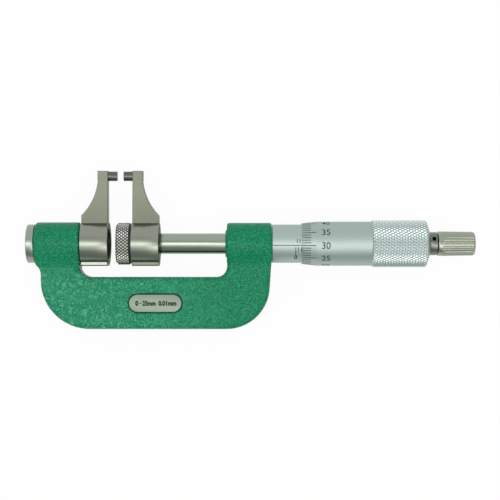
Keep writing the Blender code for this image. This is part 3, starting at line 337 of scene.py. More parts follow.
# Fine parallel marks: noise on coordinates that are squeezed across the marks, with slow patches.
def makeToolMarks():
    group, given, result = newGroup(
        "toolMarks",
        [("Coordinates", "NodeSocketVector", None), ("Squeeze", "NodeSocketVector", (1.0, 0.02, 0.02)),
         ("Fineness", "NodeSocketFloat", 6000.0), ("Patches", "NodeSocketFloat", 120.0)],
        ["Marks", "Patches"])
    squeezed = addNode(group, "VectorMath", {"operation": "MULTIPLY"}, i0=given["Coordinates"],
                       i1=given["Squeeze"])
    marks = addNode(group, "TexNoise", Vector=squeezed.outputs[0], Scale=given["Fineness"],
                    Detail=3.0, Roughness=0.6)
    patches = addNode(group, "TexNoise", Vector=given["Coordinates"], Scale=given["Patches"],
                      Detail=2.0)
    connect(group, result, {"Marks": marks.outputs["Fac"], "Patches": patches.outputs["Fac"]})
    return group


# Edge wear and a painted edge highlight: how far the surface is bent outwards here, from the geometry's
# pointiness.
def makeEdgeWear():
    group, given, result = newGroup(
        "edgeWearAndSheen", [("Start", "NodeSocketFloat", 0.51), ("End", "NodeSocketFloat", 0.56)], ["Wear"])
    pointiness = addNode(group, "NewGeometry").outputs["Pointiness"]
    connect(group, result, {"Wear": mapped(group, pointiness, given["Start"], given["End"])})
    return group


toolMarks = makeToolMarks()
edgeWearAndSheen = makeEdgeWear()


# Makes a material and gives its node tree, its shader and its Object coordinates.
def newMaterial(name, color, roughness, metallic):
    material = bpy.data.materials.new(name)
    material.use_nodes = True
    tree = material.node_tree
    shader = tree.nodes["Principled BSDF"]
    connect(tree, shader, {"Base Color": (*color, 1.0), "Roughness": roughness, "Metallic": metallic})
    finishes[name] = material
    return tree, shader, addNode(tree, "TexCoord").outputs["Object"]


aroundAxis, noGrain, alongAxis = (1.0, 0.02, 0.02), (1.0, 1.0, 1.0), (0.02, 1.0, 1.0)
mottleLook = {"marks": 0.65, "patches": 0.35, "range": (0.25, 0.75), "crest": (0.20, 0.50),
              "markHeight": 0.00001}


# A metal with tool marks: they move its roughness and tint a little and are pressed into its bump.
# Worn edges are polished brighter, partly wear and partly a painted highlight on the edges. A knurled
# metal is dark in its grooves, where the crest that its mesh stores is low: partly dirt and partly
# painted shade.
def metalFinish(name, color, roughness, squeeze=aroundAxis, fineness=5000.0, depth=0.10, spread=0.05,
                tint=0.05, wear=0.25, groove=None, glint=(1.0, 1.0, 1.0)):
    tree, shader, place = newMaterial(name, color, roughness, 1.0)
    marks, patches = addNode(tree, "Group", {"node_tree": toolMarks}, Coordinates=place,
                             Squeeze=squeeze, Fineness=fineness).outputs
    wornAndLit = addNode(tree, "Group", {"node_tree": edgeWearAndSheen}).outputs["Wear"]
    mottle = combined(tree, "MULTIPLY_ADD", patches, mottleLook["patches"],
                      combined(tree, "MULTIPLY", marks, mottleLook["marks"]))
    darker, lighter, polishedAndLit = [tuple(min(1.0, value * share) for value in color)
                                 for share in (1 - tint, 1 + tint, 1 + wear)]
    finish = blended(tree, wornAndLit, blended(tree, mottle, darker, lighter), polishedAndLit)
    if groove:
        crest = addNode(tree, "Attribute", {"attribute_name": "crest"}).outputs["Fac"]
        finish = blended(tree, mapped(tree, crest, *mottleLook["crest"]), groove, finish)
    bump = addNode(tree, "Bump", Height=marks, Strength=depth, Distance=mottleLook["markHeight"])
    rough = mapped(tree, mottle, *mottleLook["range"], roughness - spread / 2, roughness + spread / 2)
    connect(tree, shader, {"Base Color": finish, "Normal": bump.outputs[0], "Roughness": rough,
                           "Specular Tint": (*glint, 1.0)})


metals = {
    "hubSteel": {"color": (0.245, 0.270, 0.222), "roughness": 0.25},
    "armSteel": {"color": (0.165, 0.182, 0.138), "roughness": 0.45, "squeeze": (1.0, 0.05, 1.0)},
    "shadedEndSteel": {"color": (0.150, 0.170, 0.125), "roughness": 0.32, "squeeze": (1.0, 0.3, 0.3),
                 "wear": 0.0, "glint": (0.30, 0.33, 0.25)},
    "litStripSteel": {"color": (0.33, 0.36, 0.30), "roughness": 0.40, "squeeze": (1.0, 0.3, 0.3)},
    "capSteel": {"color": (0.295, 0.325, 0.285), "roughness": 0.30, "depth": 0.12},
    "spindleSteel": {"color": (0.285, 0.330, 0.275), "roughness": 0.22, "fineness": 9000.0,
                     "depth": 0.08, "tint": 0.04},
    # the knurled metals are light on their crests, a painted highlight, and dark in their grooves,
    # partly dirt and partly painted shade
    "nutSteel": {"color": (0.56, 0.58, 0.53), "roughness": 0.20, "squeeze": noGrain,
                 "fineness": 9000.0, "depth": 0.05, "groove": (0.012, 0.012, 0.011)},
    "pinCarbide": {"color": (0.112, 0.120, 0.110), "roughness": 0.30, "fineness": 8000.0,
                   "depth": 0.08},
    "satinChrome": {"color": (0.402, 0.490, 0.454), "roughness": 0.50, "squeeze": noGrain,
                    "fineness": 14000.0, "depth": 0.12, "tint": 0.04, "wear": 0.12},
    "litGripChrome": {"color": (0.66, 0.75, 0.73), "roughness": 0.27, "squeeze": noGrain,
                   "fineness": 14000.0, "depth": 0.05, "tint": 0.04, "wear": 0.20,
                   "groove": (0.30, 0.37, 0.35)},
    "neckSteel": {"color": (0.165, 0.185, 0.155), "roughness": 0.30, "fineness": 6000.0},
    "ratchetSteel": {"color": (0.315, 0.345, 0.280), "roughness": 0.27, "squeeze": alongAxis,
                     "fineness": 6000.0, "depth": 0.12, "tint": 0.06},
    "plateSteel": {"color": (0.235, 0.285, 0.226), "roughness": 0.50, "squeeze": alongAxis,
                   "fineness": 7000.0, "depth": 0.12},
    "darkSteel": {"color": (0.05, 0.055, 0.05), "roughness": 0.42, "squeeze": noGrain,
                  "fineness": 9000.0, "depth": 0.3, "spread": 0.08, "tint": 0.10},
    "innerSteel": {"color": (0.30, 0.31, 0.28), "roughness": 0.32, "depth": 0.3, "spread": 0.08,
                   "tint": 0.10},
}
for name, look in metals.items():
    metalFinish(name, **look)

paint = {
    "dark": (0.004, 0.146, 0.060), "light": (0.022, 0.326, 0.170), "edge": (0.080, 0.330, 0.200),
    "roughness": 0.30, "specular": 0.05, "coat": 0.12, "coatRoughness": 0.13, "bump": 1.0,
    "depth": 0.00012, "speckScale": 1700.0, "speckRange": (0.40, 0.74),
    # the lower left, where the paint is wrinkled and a little lighter
    "regionColor": (0.005, 0.166, 0.074), "regionX": (-0.005, -0.045), "regionY": (-0.002, -0.012),
    "foldScale": 500.0, "foldGain": 18.0, "foldShare": 0.6, "foldColor": (0.088, 0.410, 0.245),
    # a painted highlight: the pale line along the foot of the left boss
    "highlightX": (-0.0632, -0.0642), "highlightY": -0.00679, "lineWidth": 0.0003, "highlightTint": 0.6,
    # edges are lighter only below the spindle, partly as wear and partly as a painted highlight
    "wearAndSheenY": (0.0035, 0.0015), "wearAndSheenRange": (0.56, 0.66),
}


# Hammered paint: fine pale specks everywhere, and long pale wrinkles at the lower left, both also in
# the bump. The wrinkles lie where a distorted noise is near its middle value.
def hammerPaint():
    tree, shader, place = newMaterial("hammerPaint", paint["dark"], paint["roughness"], 0.0)
    x, y, _ = addNode(tree, "SeparateXYZ", Vector=place).outputs
    region = combined(tree, "MULTIPLY", mapped(tree, x, *paint["regionX"], smooth=True),
                      mapped(tree, y, *paint["regionY"], smooth=True))
    speck = addNode(tree, "TexNoise", Vector=place, Scale=paint["speckScale"], Detail=2.0,
                    Roughness=0.6).outputs["Fac"]
    fold = addNode(tree, "TexNoise", Vector=place, Scale=paint["foldScale"], Detail=2.0,
                   Roughness=0.5, Distortion=1.2).outputs["Fac"]
    offMiddle = combined(tree, "ABSOLUTE", combined(tree, "SUBTRACT", fold, 0.5))
    ridge = combined(tree, "SUBTRACT", 1.0, combined(tree, "MULTIPLY", offMiddle, paint["foldGain"]))
    folds = combined(tree, "MULTIPLY", mapped(tree, ridge, 0.0, 1.0, smooth=True), region)
    height = combined(tree, "MULTIPLY_ADD", folds, paint["foldShare"], speck)
    bump = addNode(tree, "Bump", Height=height, Strength=paint["bump"], Distance=paint["depth"])
    # painted highlight along the foot of the left boss
    footHighlight = mapped(tree, x, *paint["highlightX"], smooth=True)
    for way in (-1, 1):
        side = mapped(tree, y, paint["highlightY"] + way * paint["lineWidth"], paint["highlightY"], smooth=True)
        footHighlight = combined(tree, "MULTIPLY", footHighlight, side)
    # the wrinkles and the painted highlight along the foot share the pale colour
    pale = combined(tree, "MAXIMUM", folds, combined(tree, "MULTIPLY", footHighlight, paint["highlightTint"]))
    # lighter edges below the spindle: partly wear, partly a painted highlight on the edges
    wornAndLit = addNode(tree, "Group", {"node_tree": edgeWearAndSheen}, Start=paint["wearAndSheenRange"][0],
                   End=paint["wearAndSheenRange"][1]).outputs["Wear"]
    wear = combined(tree, "MULTIPLY", wornAndLit, mapped(tree, y, *paint["wearAndSheenY"], smooth=True))
    color = blended(tree, region, paint["dark"], paint["regionColor"])
    for factor, key in ((mapped(tree, speck, *paint["speckRange"]), "light"), (pale, "foldColor"),
                        (wear, "edge")):
        color = blended(tree, factor, color, paint[key])
    connect(tree, shader, {
        "Base Color": color, "Normal": bump.outputs[0], "Coat Normal": bump.outputs[0],
        "Specular IOR Level": paint["specular"], "Coat Weight": paint["coat"],
        "Coat Roughness": paint["coatRoughness"]})


# Ink in the engraved marks: nearly black, with a slight mottle.
def inkFinish():
    tree, shader, place = newMaterial("markInk", (0.015, 0.022, 0.020), 0.6, 0.0)
    mottle = addNode(tree, "TexNoise", Vector=place, Scale=9000.0).outputs["Fac"]
    connect(tree, shader, {
        "Specular IOR Level": 0.2,
        "Base Color": blended(tree, mottle, (0.008, 0.012, 0.011), (0.028, 0.038, 0.034))})


hammerPaint()
inkFinish()
print("materials made")


# Marks and numbers that lie on a surface

ink = {"proud": 0.012, "sunk": 0.03, "sharpAngle": 20.0, "curveSteps": 5, "longestEdge": 0.16}


# Straight strips of ink on a surface of revolution. Each strip runs from (x, angle) to (x, angle) in
# rows; its section is a flat box from just under the surface to just above it.
def inkStrips(strips, width, radiusAt, rows=9):
    strips = np.asarray(strips, float)
    t = np.linspace(0.0, 1.0, rows)[None, :]
    x = strips[:, 0:1] * (1 - t) + strips[:, 2:3] * t
    angle = strips[:, 1:2] * (1 - t) + strips[:, 3:4] * t
    radius = radiusAt(x)
    run = np.stack([strips[:, 2] - strips[:, 0],
                    (strips[:, 3] - strips[:, 1]) * radius.mean(1)], -1)
    run /= np.linalg.norm(run, axis=1)[:, None]
    sides = np.array([-1.0, -1.0, 1.0, 1.0]) * width / 2
    lifts = np.array([-ink["sunk"], ink["proud"], ink["proud"], -ink["sunk"]])
    px = x[..., None] - run[:, None, None, 1] * sides
    pa = angle[..., None] + run[:, None, None, 0] * sides / radius[..., None]
    pr = radiusAt(px) + lifts
    verts = np.stack([px, pr * np.sin(pa), pr * np.cos(pa)], -1)
    caps = np.array([[0, 1, 2, 3], [(rows - 1) * 4 + k for k in (3, 2, 1, 0)]])
    shift = np.arange(len(strips))[:, None, None] * rows * 4
    faces = np.concatenate([gridFaces(rows, 4), caps])[None] + shift
    return verts.reshape(-1, 3), faces.reshape(-1, 4)


# The flat mesh of a number or a word, as wide and high as asked, with its middle at the origin.
def flatText(words, height, width=None, boldness=0.0):
    curve = bpy.data.curves.new("text", "FONT")
    curve.body = words
    curve.resolution_u = ink["curveSteps"]
    curve.offset = boldness
    curve.extrude = 0.05
    carrier = newObject("text", curve)
    mesh = finalMesh(carrier)
    bpy.data.objects.remove(carrier, do_unlink=True)
    bm = bmesh.new()
    bm.from_mesh(mesh)
    bmesh.ops.remove_doubles(bm, verts=bm.verts, dist=1e-5)
    bmesh.ops.triangulate(bm, faces=bm.faces)
    for _ in range(2):
        long = [edge for edge in bm.edges if edge.calc_length() > ink["longestEdge"]]
        bmesh.ops.subdivide_edges(bm, edges=long, cuts=1, use_grid_fill=False)
        bmesh.ops.triangulate(bm, faces=bm.faces)
    bm.verts.index_update()
    verts = np.array([vert.co[:] for vert in bm.verts])
    faces = np.array([[vert.index for vert in face.verts] for face in bm.faces])
    bm.free()
    low, high = verts.min(0), verts.max(0)
    scale = height / (high[1] - low[1])
    across = width / (high[0] - low[0]) if width else scale
    verts[:, 0] = (verts[:, 0] - (low[0] + high[0]) / 2) * across
    verts[:, 1] = (verts[:, 1] - (low[1] + high[1]) / 2) * scale
    verts[:, 2] = np.where(verts[:, 2] > 0, ink["proud"], -ink["sunk"])
    return verts, faces


# A number wrapped round the axis: its x stays along the axis and its y becomes an arc.
def wrappedNumber(number, look, x, angle, radiusAt):
    width = look["digitWidth"] if number < 10 else look["pairWidth"]
    verts, faces = flatText(str(number), look["numberHeight"], width, look["boldness"])
    alongX = verts[:, 0] + x
    radius = radiusAt(alongX)
    turn = angle + verts[:, 1] / radius
    lifted = radius + verts[:, 2]
    return np.stack([alongX, lifted * np.sin(turn), lifted * np.cos(turn)], -1), faces


# Joins strips and words, each with its points and faces, in one piece of ink.
def inkPiece(name, parts):
    offset = 0
    allVerts, byLength = [], {}
    for verts, faces in parts:
        allVerts.append(verts)
        byLength.setdefault(faces.shape[1], []).append(faces + offset)
        offset += len(verts)
    faces = [np.concatenate(group) for group in byLength.values()]
    return addPiece(name, np.concatenate(allVerts), faces, "markInk", ink["sharpAngle"])


# Frame casting

frameLow, frameHigh = localBox("frame")
plateLow, plateHigh = localBox("range_plate")
keyX = sum(span("guide_key")) / 2
plateMiddle = (plateLow + plateHigh) / 2
plateRadius = (plateHigh[1] - plateLow[1]) / 2
plateReach = (plateHigh[0] - plateLow[0]) / 2 - plateRadius
casting = {
    "leftBossRadius": 7.775, "leftBossLength": 16.2, "rightBossRadius": 7.575, "throat": 53.0,
    "bossRounding": 0.9, "leftFillet": 5.0, "rightFillet": 1.5, "throatDepth": 12.05,
    "bowThickness": 9.0, "bowRounding": 1.9, "leftInset": 2.0, "leftRadius": 17.7,
    "rightInset": 0.75, "rightRadius": 15.6, "flareRadius": 6.0, "flareDepth": 11.5,
    "flareStart": 0.4, "throatLeftFillet": 4.2, "throatRightFillet": 3.85, "legShare": 0.72,
    "lap": 0.1, "rightLap": 0.05, "footLap": 0.5, "rimRadius": 4.9, "rimHeight": 0.5, "rimRounding": 0.2,
    "paintFillet": 0.25, "holeEdge": 0.12, "clearance": 0.3, "voxel": 0.33,
    # radii of the holes; the screw's and the spindle's meet this far inside the throat
    "capHole": 5.3, "screwHole": 3.3, "spindleHole": 4.05, "barrelHole": 5.6, "keyHole": 1.65,
    "holesMeet": 10.0,
}
leftBossInner = frameLow[0] + casting["leftBossLength"]
rightBossInner = leftBossInner + casting["throat"]
flareCenter = (frameLow[0] + casting["leftInset"] - casting["flareRadius"], -casting["flareDepth"])


# The bow's outline: arcs at the lower corners and in the throat, and straight lines between them.
def bowOutline():
    inBoss = -casting["legShare"] * casting["rightBossRadius"]
    top = -casting["throatDepth"]
    leftRadius, rightRadius = casting["leftRadius"], casting["rightRadius"]
    leftCenter = (frameLow[0] + casting["leftInset"] + leftRadius, frameLow[1] + leftRadius)
    rightCenter = (frameHigh[0] - casting["rightInset"] - rightRadius, frameLow[1] + rightRadius)
    rightTop = (frameHigh[0] - casting["rightLap"], inBoss)
    dx, dy = rightTop[0] - rightCenter[0], rightTop[1] - rightCenter[1]
    tangent = math.degrees(math.atan2(dy, dx) - math.acos(rightRadius / math.hypot(dx, dy)))
    flareRun = casting["leftInset"] - casting["flareStart"]
    flareAngle = math.degrees(math.acos(1.0 - flareRun / casting["flareRadius"]))
    throatLeft, throatRight = leftBossInner - casting["lap"], rightBossInner + casting["lap"]
    small, big = casting["throatLeftFillet"], casting["throatRightFillet"]
    return np.concatenate([
        arcPoints(leftCenter, leftRadius, 180, 270, 24),
        arcPoints(rightCenter, rightRadius, 270, 360 + tangent, 24),
        [rightTop, (throatRight, inBoss)],
        arcPoints((throatRight - big, top + big), big, 0, -90, 10),
        arcPoints((throatLeft + small, top + small), small, 270, 180, 10),
        [(throatLeft, inBoss), (frameLow[0] + casting["flareStart"], inBoss)],
        arcPoints(flareCenter, casting["flareRadius"], flareAngle, 0, 8)])


# Distance to a closed outline, negative inside it: the nearest of its sides, with the sign from how
# many sides a line to the right crosses.
def outlineDistance(x, y, corners):
    best = np.full(x.shape, np.inf)
    inside = np.zeros(x.shape, bool)
    for (ax, ay), (bx, by) in zip(corners, np.roll(corners, -1, 0)):
        ex, ey = bx - ax, by - ay
        t = np.clip(((x - ax) * ex + (y - ay) * ey) / (ex * ex + ey * ey), 0.0, 1.0)
        best = np.minimum(best, (x - ax - t * ex) ** 2 + (y - ay - t * ey) ** 2)
        if ay != by:
            inside ^= ((ay > y) != (by > y)) & (x < ex * (y - ay) / ey + ax)
    return np.where(inside, -1.0, 1.0) * np.sqrt(best)


# Where two distances meet at an outer edge, the edge is rounded by a radius.
def roundedMeet(a, b, radius):
    return (np.minimum(np.maximum(a + radius, b + radius), 0.0)
            + np.hypot(np.maximum(a + radius, 0.0), np.maximum(b + radius, 0.0)) - radius)


# The union of two forms with a round fillet in the corner between them.
def filletUnion(a, b, radius):
    return (np.maximum(radius, np.minimum(a, b))
            - np.hypot(np.maximum(radius - a, 0.0), np.maximum(radius - b, 0.0)))


# The smaller of two distances, blended over a width where they are nearly the same.
def softMin(a, b, width):
    overlap = np.maximum(width - np.abs(a - b), 0.0) / width
    return np.minimum(a, b) - overlap ** 2 * width / 4


# A boss: a circle that runs by a fillet into the slab of the bow, carried along x.
def bossDistance(p, start, end, radius, fillet):
    half = casting["bowThickness"] / 2
    filletY = -math.sqrt((radius + fillet) ** 2 - (half + fillet) ** 2)
    foot = filletY - casting["footLap"] - p[:, 1]
    slab = np.maximum(np.maximum(np.abs(p[:, 2]) - half, p[:, 1]), foot)
    section = filletUnion(np.hypot(p[:, 1], p[:, 2]) - radius, slab, fillet)
    along = np.abs(p[:, 0] - (start + end) / 2) - (end - start) / 2
    return roundedMeet(np.maximum(section, foot), along, casting["bossRounding"])


swell = {"seed": 7, "waves": 36, "lean": [0.25, -0.35, 0.0], "lengths": (1.5, 3.6), "depth": 0.05,
         "gain": 1.1, "most": 1.4, "least": 0.35, "leftwards": (-25.0, 20.0),
         "downwards": (6.0, 14.0), "ridge": 0.09, "ridgeY": -9.04, "ridgeAbove": 3.0,
         "ridgeWidth": 0.22}


# Swells of the thick paint, as a depth below the full form: plane waves of random direction added up,
# strongest at the lower left. A narrow ridge stands along the foot of the left boss.
def paintSwell(p):
    random = np.random.default_rng(swell["seed"])
    total = np.zeros(len(p))
    for _ in range(swell["waves"]):
        direction = random.normal(size=3) + swell["lean"]
        direction /= np.linalg.norm(direction)
        length = random.uniform(*swell["lengths"])
        total += np.sin(p @ direction * (2 * math.pi / length) + random.uniform(0.0, 2 * math.pi))
    lowerLeft = smoothStep(-p[:, 0], *swell["leftwards"]) * smoothStep(-p[:, 1], *swell["downwards"])
    strength = swell["least"] + (1.0 - swell["least"]) * lowerLeft
    waves = np.minimum(np.abs(total) / math.sqrt(swell["waves"]) * swell["gain"], swell["most"])
    onFoot = smoothStep(leftBossInner - p[:, 0], 0.0, 1.0) * (p[:, 2] > swell["ridgeAbove"])
    ridge = swell["ridge"] * np.exp(-((p[:, 1] - swell["ridgeY"]) / swell["ridgeWidth"]) ** 2)
    return swell["depth"] * strength * waves - ridge * onFoot


# The left boss, with its lower outer corner trimmed to the flare of the bow.
def leftBossDistance(p):
    boss = bossDistance(p, frameLow[0], leftBossInner, casting["leftBossRadius"], casting["leftFillet"])
    flare = casting["flareRadius"] - np.hypot(p[:, 0] - flareCenter[0], p[:, 1] - flareCenter[1])
    return roundedMeet(boss, flare, casting["bossRounding"])


# Signed distance to the whole casting: bow, two bosses and the bore's rim, less its holes.
def castingDistance(p, outline):
    x, y, z = p.T
    ring = np.hypot(y, z)
    form = roundedMeet(outlineDistance(x, y, outline), np.abs(z) - casting["bowThickness"] / 2,
                       casting["bowRounding"])
    for boss in (leftBossDistance(p),
                 bossDistance(p, rightBossInner, frameHigh[0], casting["rightBossRadius"],
                              casting["rightFillet"]),
                 roundedMeet(ring - casting["rimRadius"],
                             np.abs(x - rightBossInner) - casting["rimHeight"],
                             casting["rimRounding"])):
        form = softMin(form, boss, casting["paintFillet"])
    gap = casting["clearance"]
    inThroat = x - rightBossInner + casting["holesMeet"]
    pocket = np.hypot(np.maximum(np.abs(x - plateMiddle[0]) - plateReach, 0.0), y - plateMiddle[1])
    for hole in (
            np.maximum(ring - casting["capHole"], x - span("end_cap")[1] - gap),
            np.maximum(ring - casting["screwHole"], inThroat),
            np.maximum(ring - casting["spindleHole"], -inThroat),
            np.maximum(ring - casting["barrelHole"], span("barrel")[0] - gap - x),
            np.maximum(np.hypot(x - keyX, y) - casting["keyHole"], z),
            np.maximum(pocket - plateRadius - gap, plateLow[2] - gap - z)):
        form = -softMin(-form, hole, casting["holeEdge"])
    return form


fit = {"steps": 3, "probe": 0.02, "leastSlope": 0.3, "longestMove": 0.4}


# The casting's mesh starts as a fine remesh of a merged copy of the CAD form. Each vertex then moves
# along the distance's gradient until its distance is zero, and inwards by the paint's swell.
def makeCasting():
    copy = newObject("castingCopy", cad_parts["frame"].data.copy())
    bm = bmesh.new()
    bm.from_mesh(copy.data)
    bmesh.ops.remove_doubles(bm, verts=bm.verts, dist=1e-6)
    bm.to_mesh(copy.data)
    bm.free()
    remesh = copy.modifiers.new("fine", "REMESH")
    remesh.mode = "VOXEL"
    remesh.voxel_size = casting["voxel"] * mm
    mesh = finalMesh(copy)
    bpy.data.objects.remove(copy, do_unlink=True)
    points = localPoints(mesh.vertices)
    outline = bowOutline()
    for _ in range(fit["steps"]):
        gradient = np.stack([castingDistance(points + offset, outline)
                             - castingDistance(points - offset, outline)
                             for offset in np.eye(3) * fit["probe"]], -1) / (2 * fit["probe"])
        length = np.maximum(np.linalg.norm(gradient, axis=1), fit["leastSlope"])[:, None]
        move = castingDistance(points, outline)[:, None] * gradient / length ** 2
        points = points - np.clip(move, -fit["longestMove"], fit["longestMove"])
    points = points - gradient / length * paintSwell(points)[:, None]
    mesh.vertices.foreach_set("co", ((points + origin) * mm).ravel())
    mesh.materials.clear()
    mesh.materials.append(finishes["hammerPaint"])
    mesh.shade_smooth()
    mesh.update()
    return newObject("frameCasting", mesh)


dress(makeCasting(), "body", "green_paint", "frame")
print("casting made")


# Range plate

# words of the plate, each with the middle and width that it has in the photograph, and its height
plate = {"edge": 0.2, "innerShare": 0.3, "paleDepth": 0.02, "boldness": 0.057,
         "words": [("0", -6.60, 1.12, 1.85), ("-", -5.34, 0.78, 0.30), ("25mm", -2.21, 4.85, 1.85),
                   ("0.01mm", 4.38, 6.50, 1.85)]}


def makePlate():
    outline = np.concatenate([
        arcPoints((plateMiddle[0] + way * plateReach, plateMiddle[1]), plateRadius, start,
                  start + 180, 32)
        for way, start in ((1, -90), (-1, 90))])
    top, edge = plateHigh[2], plate["edge"]
    inner = plate["innerShare"] * edge
    levels = [(edge, plateLow[2]), (0.0, plateLow[2] + edge), (0.0, top - edge),
              (inner, top - inner), (edge, top)]
    badge = layeredPiece("plateBadge", outline, levels, "plateSteel")
    # the plate's sides and edges below its top are dark steel: painted shade
    secondMaterial(badge, "darkSteel", lambda points: points[:, 2] < top - plate["paleDepth"])
    dress(badge, "body", "plate_steel", "range_plate")
    parts = []
    for words, place, width, height in plate["words"]:
        verts, faces = flatText(words, height, width, plate["boldness"])
        parts.append((verts + [plateMiddle[0] + place, plateMiddle[1], top], faces))
    dress(inkPiece("plateFigures", parts), "body", "dark_steel")


makePlate()
print("plate made")


# Jaws

jaw = {
    "armInnerRelief": 0.3, "armOuterRelief": 0.15, "topWidth": 3.75, "topStep": 0.12,
    "blockHeight": 3.5, "shoulderHeight": 10.2, "arcRadius": 20.5, "baseThickness": 5.5,
    "topThickness": 4.1, "edge": 0.14, "hubRadius": 7.9, "hubLength": 10.0, "hubEdge": 0.3,
    "pinRadius": 1.75, "pinEdge": 0.14, "pinFit": 0.06, "pinSeat": 2.8,
    "tailEnd": -8.0, "tailEdge": 0.36, "tailRoot": -4.0, "tailThickness": 8.3, "tailSlope": 0.055,
    "tailBevel": 1.3,
    # where painted shade darkens the steel: in the bore, at the hub's end and on the tail's edge
    "darkWithin": 5.85, "mouth": 0.4, "nearEnd": 0.05, "edgeShare": 0.9,
    # the bore's radius, and the radius, depth and bevel of its seat at the end towards the ratchet
    "fixed_jaw": (3.3, 5.75, 6.6, 0.25), "moving_jaw": (3.05, 3.87, 3.3, 0.2),
}


# The arm's outline from its face, as (distance, height): a block and a milled arc.
def armOutline(armHeight, base):
    runOut = np.array([jaw["topWidth"] - jaw["topStep"], armHeight - jaw["blockHeight"]])
    shoulder = np.array([base, jaw["shoulderHeight"]])
    chord = shoulder - runOut
    length = np.hypot(*chord)
    leg = math.sqrt(jaw["arcRadius"] ** 2 - (length / 2) ** 2)
    center = (shoulder + runOut) / 2 + leg * np.array([-chord[1], chord[0]]) / length
    start = math.degrees(math.atan2(*(runOut - center)[::-1])) % 360
    end = math.degrees(math.atan2(*(shoulder - center)[::-1])) % 360
    top = [(0.0, armHeight), (jaw["topWidth"], armHeight), (jaw["topWidth"], runOut[1] + jaw["topStep"])]
    return np.concatenate([[(0.0, 0.0)], top, arcPoints(center, jaw["arcRadius"], start, end, 28),
                           [(base, 0.0)]])


# The arm's tail shows below the hub: chamfered oblongs one below the other, the last one thinner.
def jawTail(near, far):
    edge = jaw["edge"]
    chamfer = jaw["tailEnd"] + jaw["tailEdge"]
    rings = []
    for y in (jaw["tailEnd"], chamfer, jaw["tailRoot"]):
        half = (jaw["tailThickness"] / 2 + jaw["tailSlope"] * (y + jaw["hubRadius"])
                - jaw["tailBevel"] * max(chamfer - y, 0.0))
        rings += [(near + edge, y, -half), (far - edge, y, -half), (far, y, edge - half),
                  (far, y, half - edge), (far - edge, y, half), (near + edge, y, half),
                  (near, y, half - edge), (near, y, edge - half)]
    caps = np.stack([np.arange(8), 16 + np.arange(8)[::-1]])
    return addPiece("tool", rings, [gridFaces(3, 8), caps], "armSteel")


# A jaw: a turned hub and a tapered arm, joined, with its bore cut out. side is -1 for the fixed jaw.
def makeJaw(name, node, pinNode, side, body):
    low, high = localBox(node)
    hubInner = high[0] if side < 0 else low[0]
    armFace = hubInner + side * jaw["armInnerRelief"]
    start, end = sorted((hubInner, hubInner + side * jaw["hubLength"]))
    base = jaw["hubLength"] - jaw["armInnerRelief"] - jaw["armOuterRelief"]
    outline = armOutline(high[1], base) * [side, 1.0] + [armFace, 0.0]

    def halfThickness(y):
        share = (y - jaw["hubRadius"]) / (high[1] - jaw["hubRadius"])
        return (jaw["baseThickness"] + (jaw["topThickness"] - jaw["baseThickness"]) * share) / 2

    edge = jaw["edge"]
    levels = [(edge, lambda y: -halfThickness(y)), (0.0, lambda y: edge - halfThickness(y)),
              (0.0, lambda y: halfThickness(y) - edge), (edge, halfThickness)]
    arm = layeredPiece(name, outline, levels, "armSteel")
    hub = steppedPiece("tool", (start, end), [jaw["hubRadius"]], jaw["hubEdge"], "hubSteel", 192)
    for part in (hub, jawTail(*sorted((armFace, armFace + side * base)))):
        carve(arm, part, operation="UNION")
    pinLow, pinHigh = localBox(pinNode)
    pinY = (pinLow[1] + pinHigh[1]) / 2
    pinHole = roundTool(*sorted((armFace - side * past, armFace + side * jaw["pinSeat"])),
                        jaw["pinRadius"] + jaw["pinFit"], (0.0, pinY, 0.0))
    hole, seat, depth, bevel = jaw[node]
    bore = [(start - past, 0.0), (start - past, hole), (end - depth, hole), (end - depth, seat),
            (end - bevel, seat), (end + past, seat + (past + bevel)), (end + past, 0.0)]
    carve(arm, pinHole, turnedPiece("tool", bore, None, 96))
    for finish in ("shadedEndSteel", "darkSteel", "litStripSteel"):
        arm.data.materials.append(finishes[finish])
    x, y, z = localPoints(arm.data.polygons, "center").T
    # painted shade: dark steel in the bore and on the tail's lower edge, a darker copy of the steel on
    # the hub's end face
    shadedEnd = np.abs(x - end) < jaw["nearEnd"]
    inside = (x > start + jaw["nearEnd"]) & (x < end - jaw["mouth"])
    shadedBore = inside & (np.hypot(y, z) < jaw["darkWithin"])
    shadedTailEdge = y < jaw["tailEnd"] + jaw["tailEdge"] * jaw["edgeShare"]
    indices = np.zeros(len(x), np.int32)
    arm.data.polygons.foreach_get("material_index", indices)
    # the fixed jaw's flat tail gets a lighter steel, a painted highlight for the light that it catches
    litStrip = (side < 0) & (y < jaw["tailRoot"]) & (indices == 0) & (z > 0.0)
    indices = np.select([shadedBore | shadedTailEdge, shadedEnd, litStrip], [3, 2, 4], indices)
    arm.data.polygons.foreach_set("material_index", indices.astype(np.int32))
    pin = steppedPiece(name + "Pin", (pinLow[0], pinHigh[0]), [jaw["pinRadius"]], jaw["pinEdge"],
                       "pinCarbide", 96, (0.0, pinY, 0.0))
    dress(arm, body, "ground_steel", node)
    dress(pin, body, "lapped_carbide", pinNode)


makeJaw("fixedJawSteel", "fixed_jaw", "fixed_pin", -1.0, "body")
makeJaw("movingJawSteel", "moving_jaw", "moving_pin", 1.0, "slider")
print("jaws made")


# Turned pieces

cap = {"radius": 7.0, "spigotRadius": 5.0, "edge": 0.45, "lap": 0.12}
capLeft, capRight = span("end_cap")
dress(steppedPiece("endCapDisc", (capLeft, frameLow[0] - cap["lap"], capRight),
                   (cap["radius"], cap["spigotRadius"]), cap["edge"], "capSteel"),
      "body", "ground_steel", "end_cap")

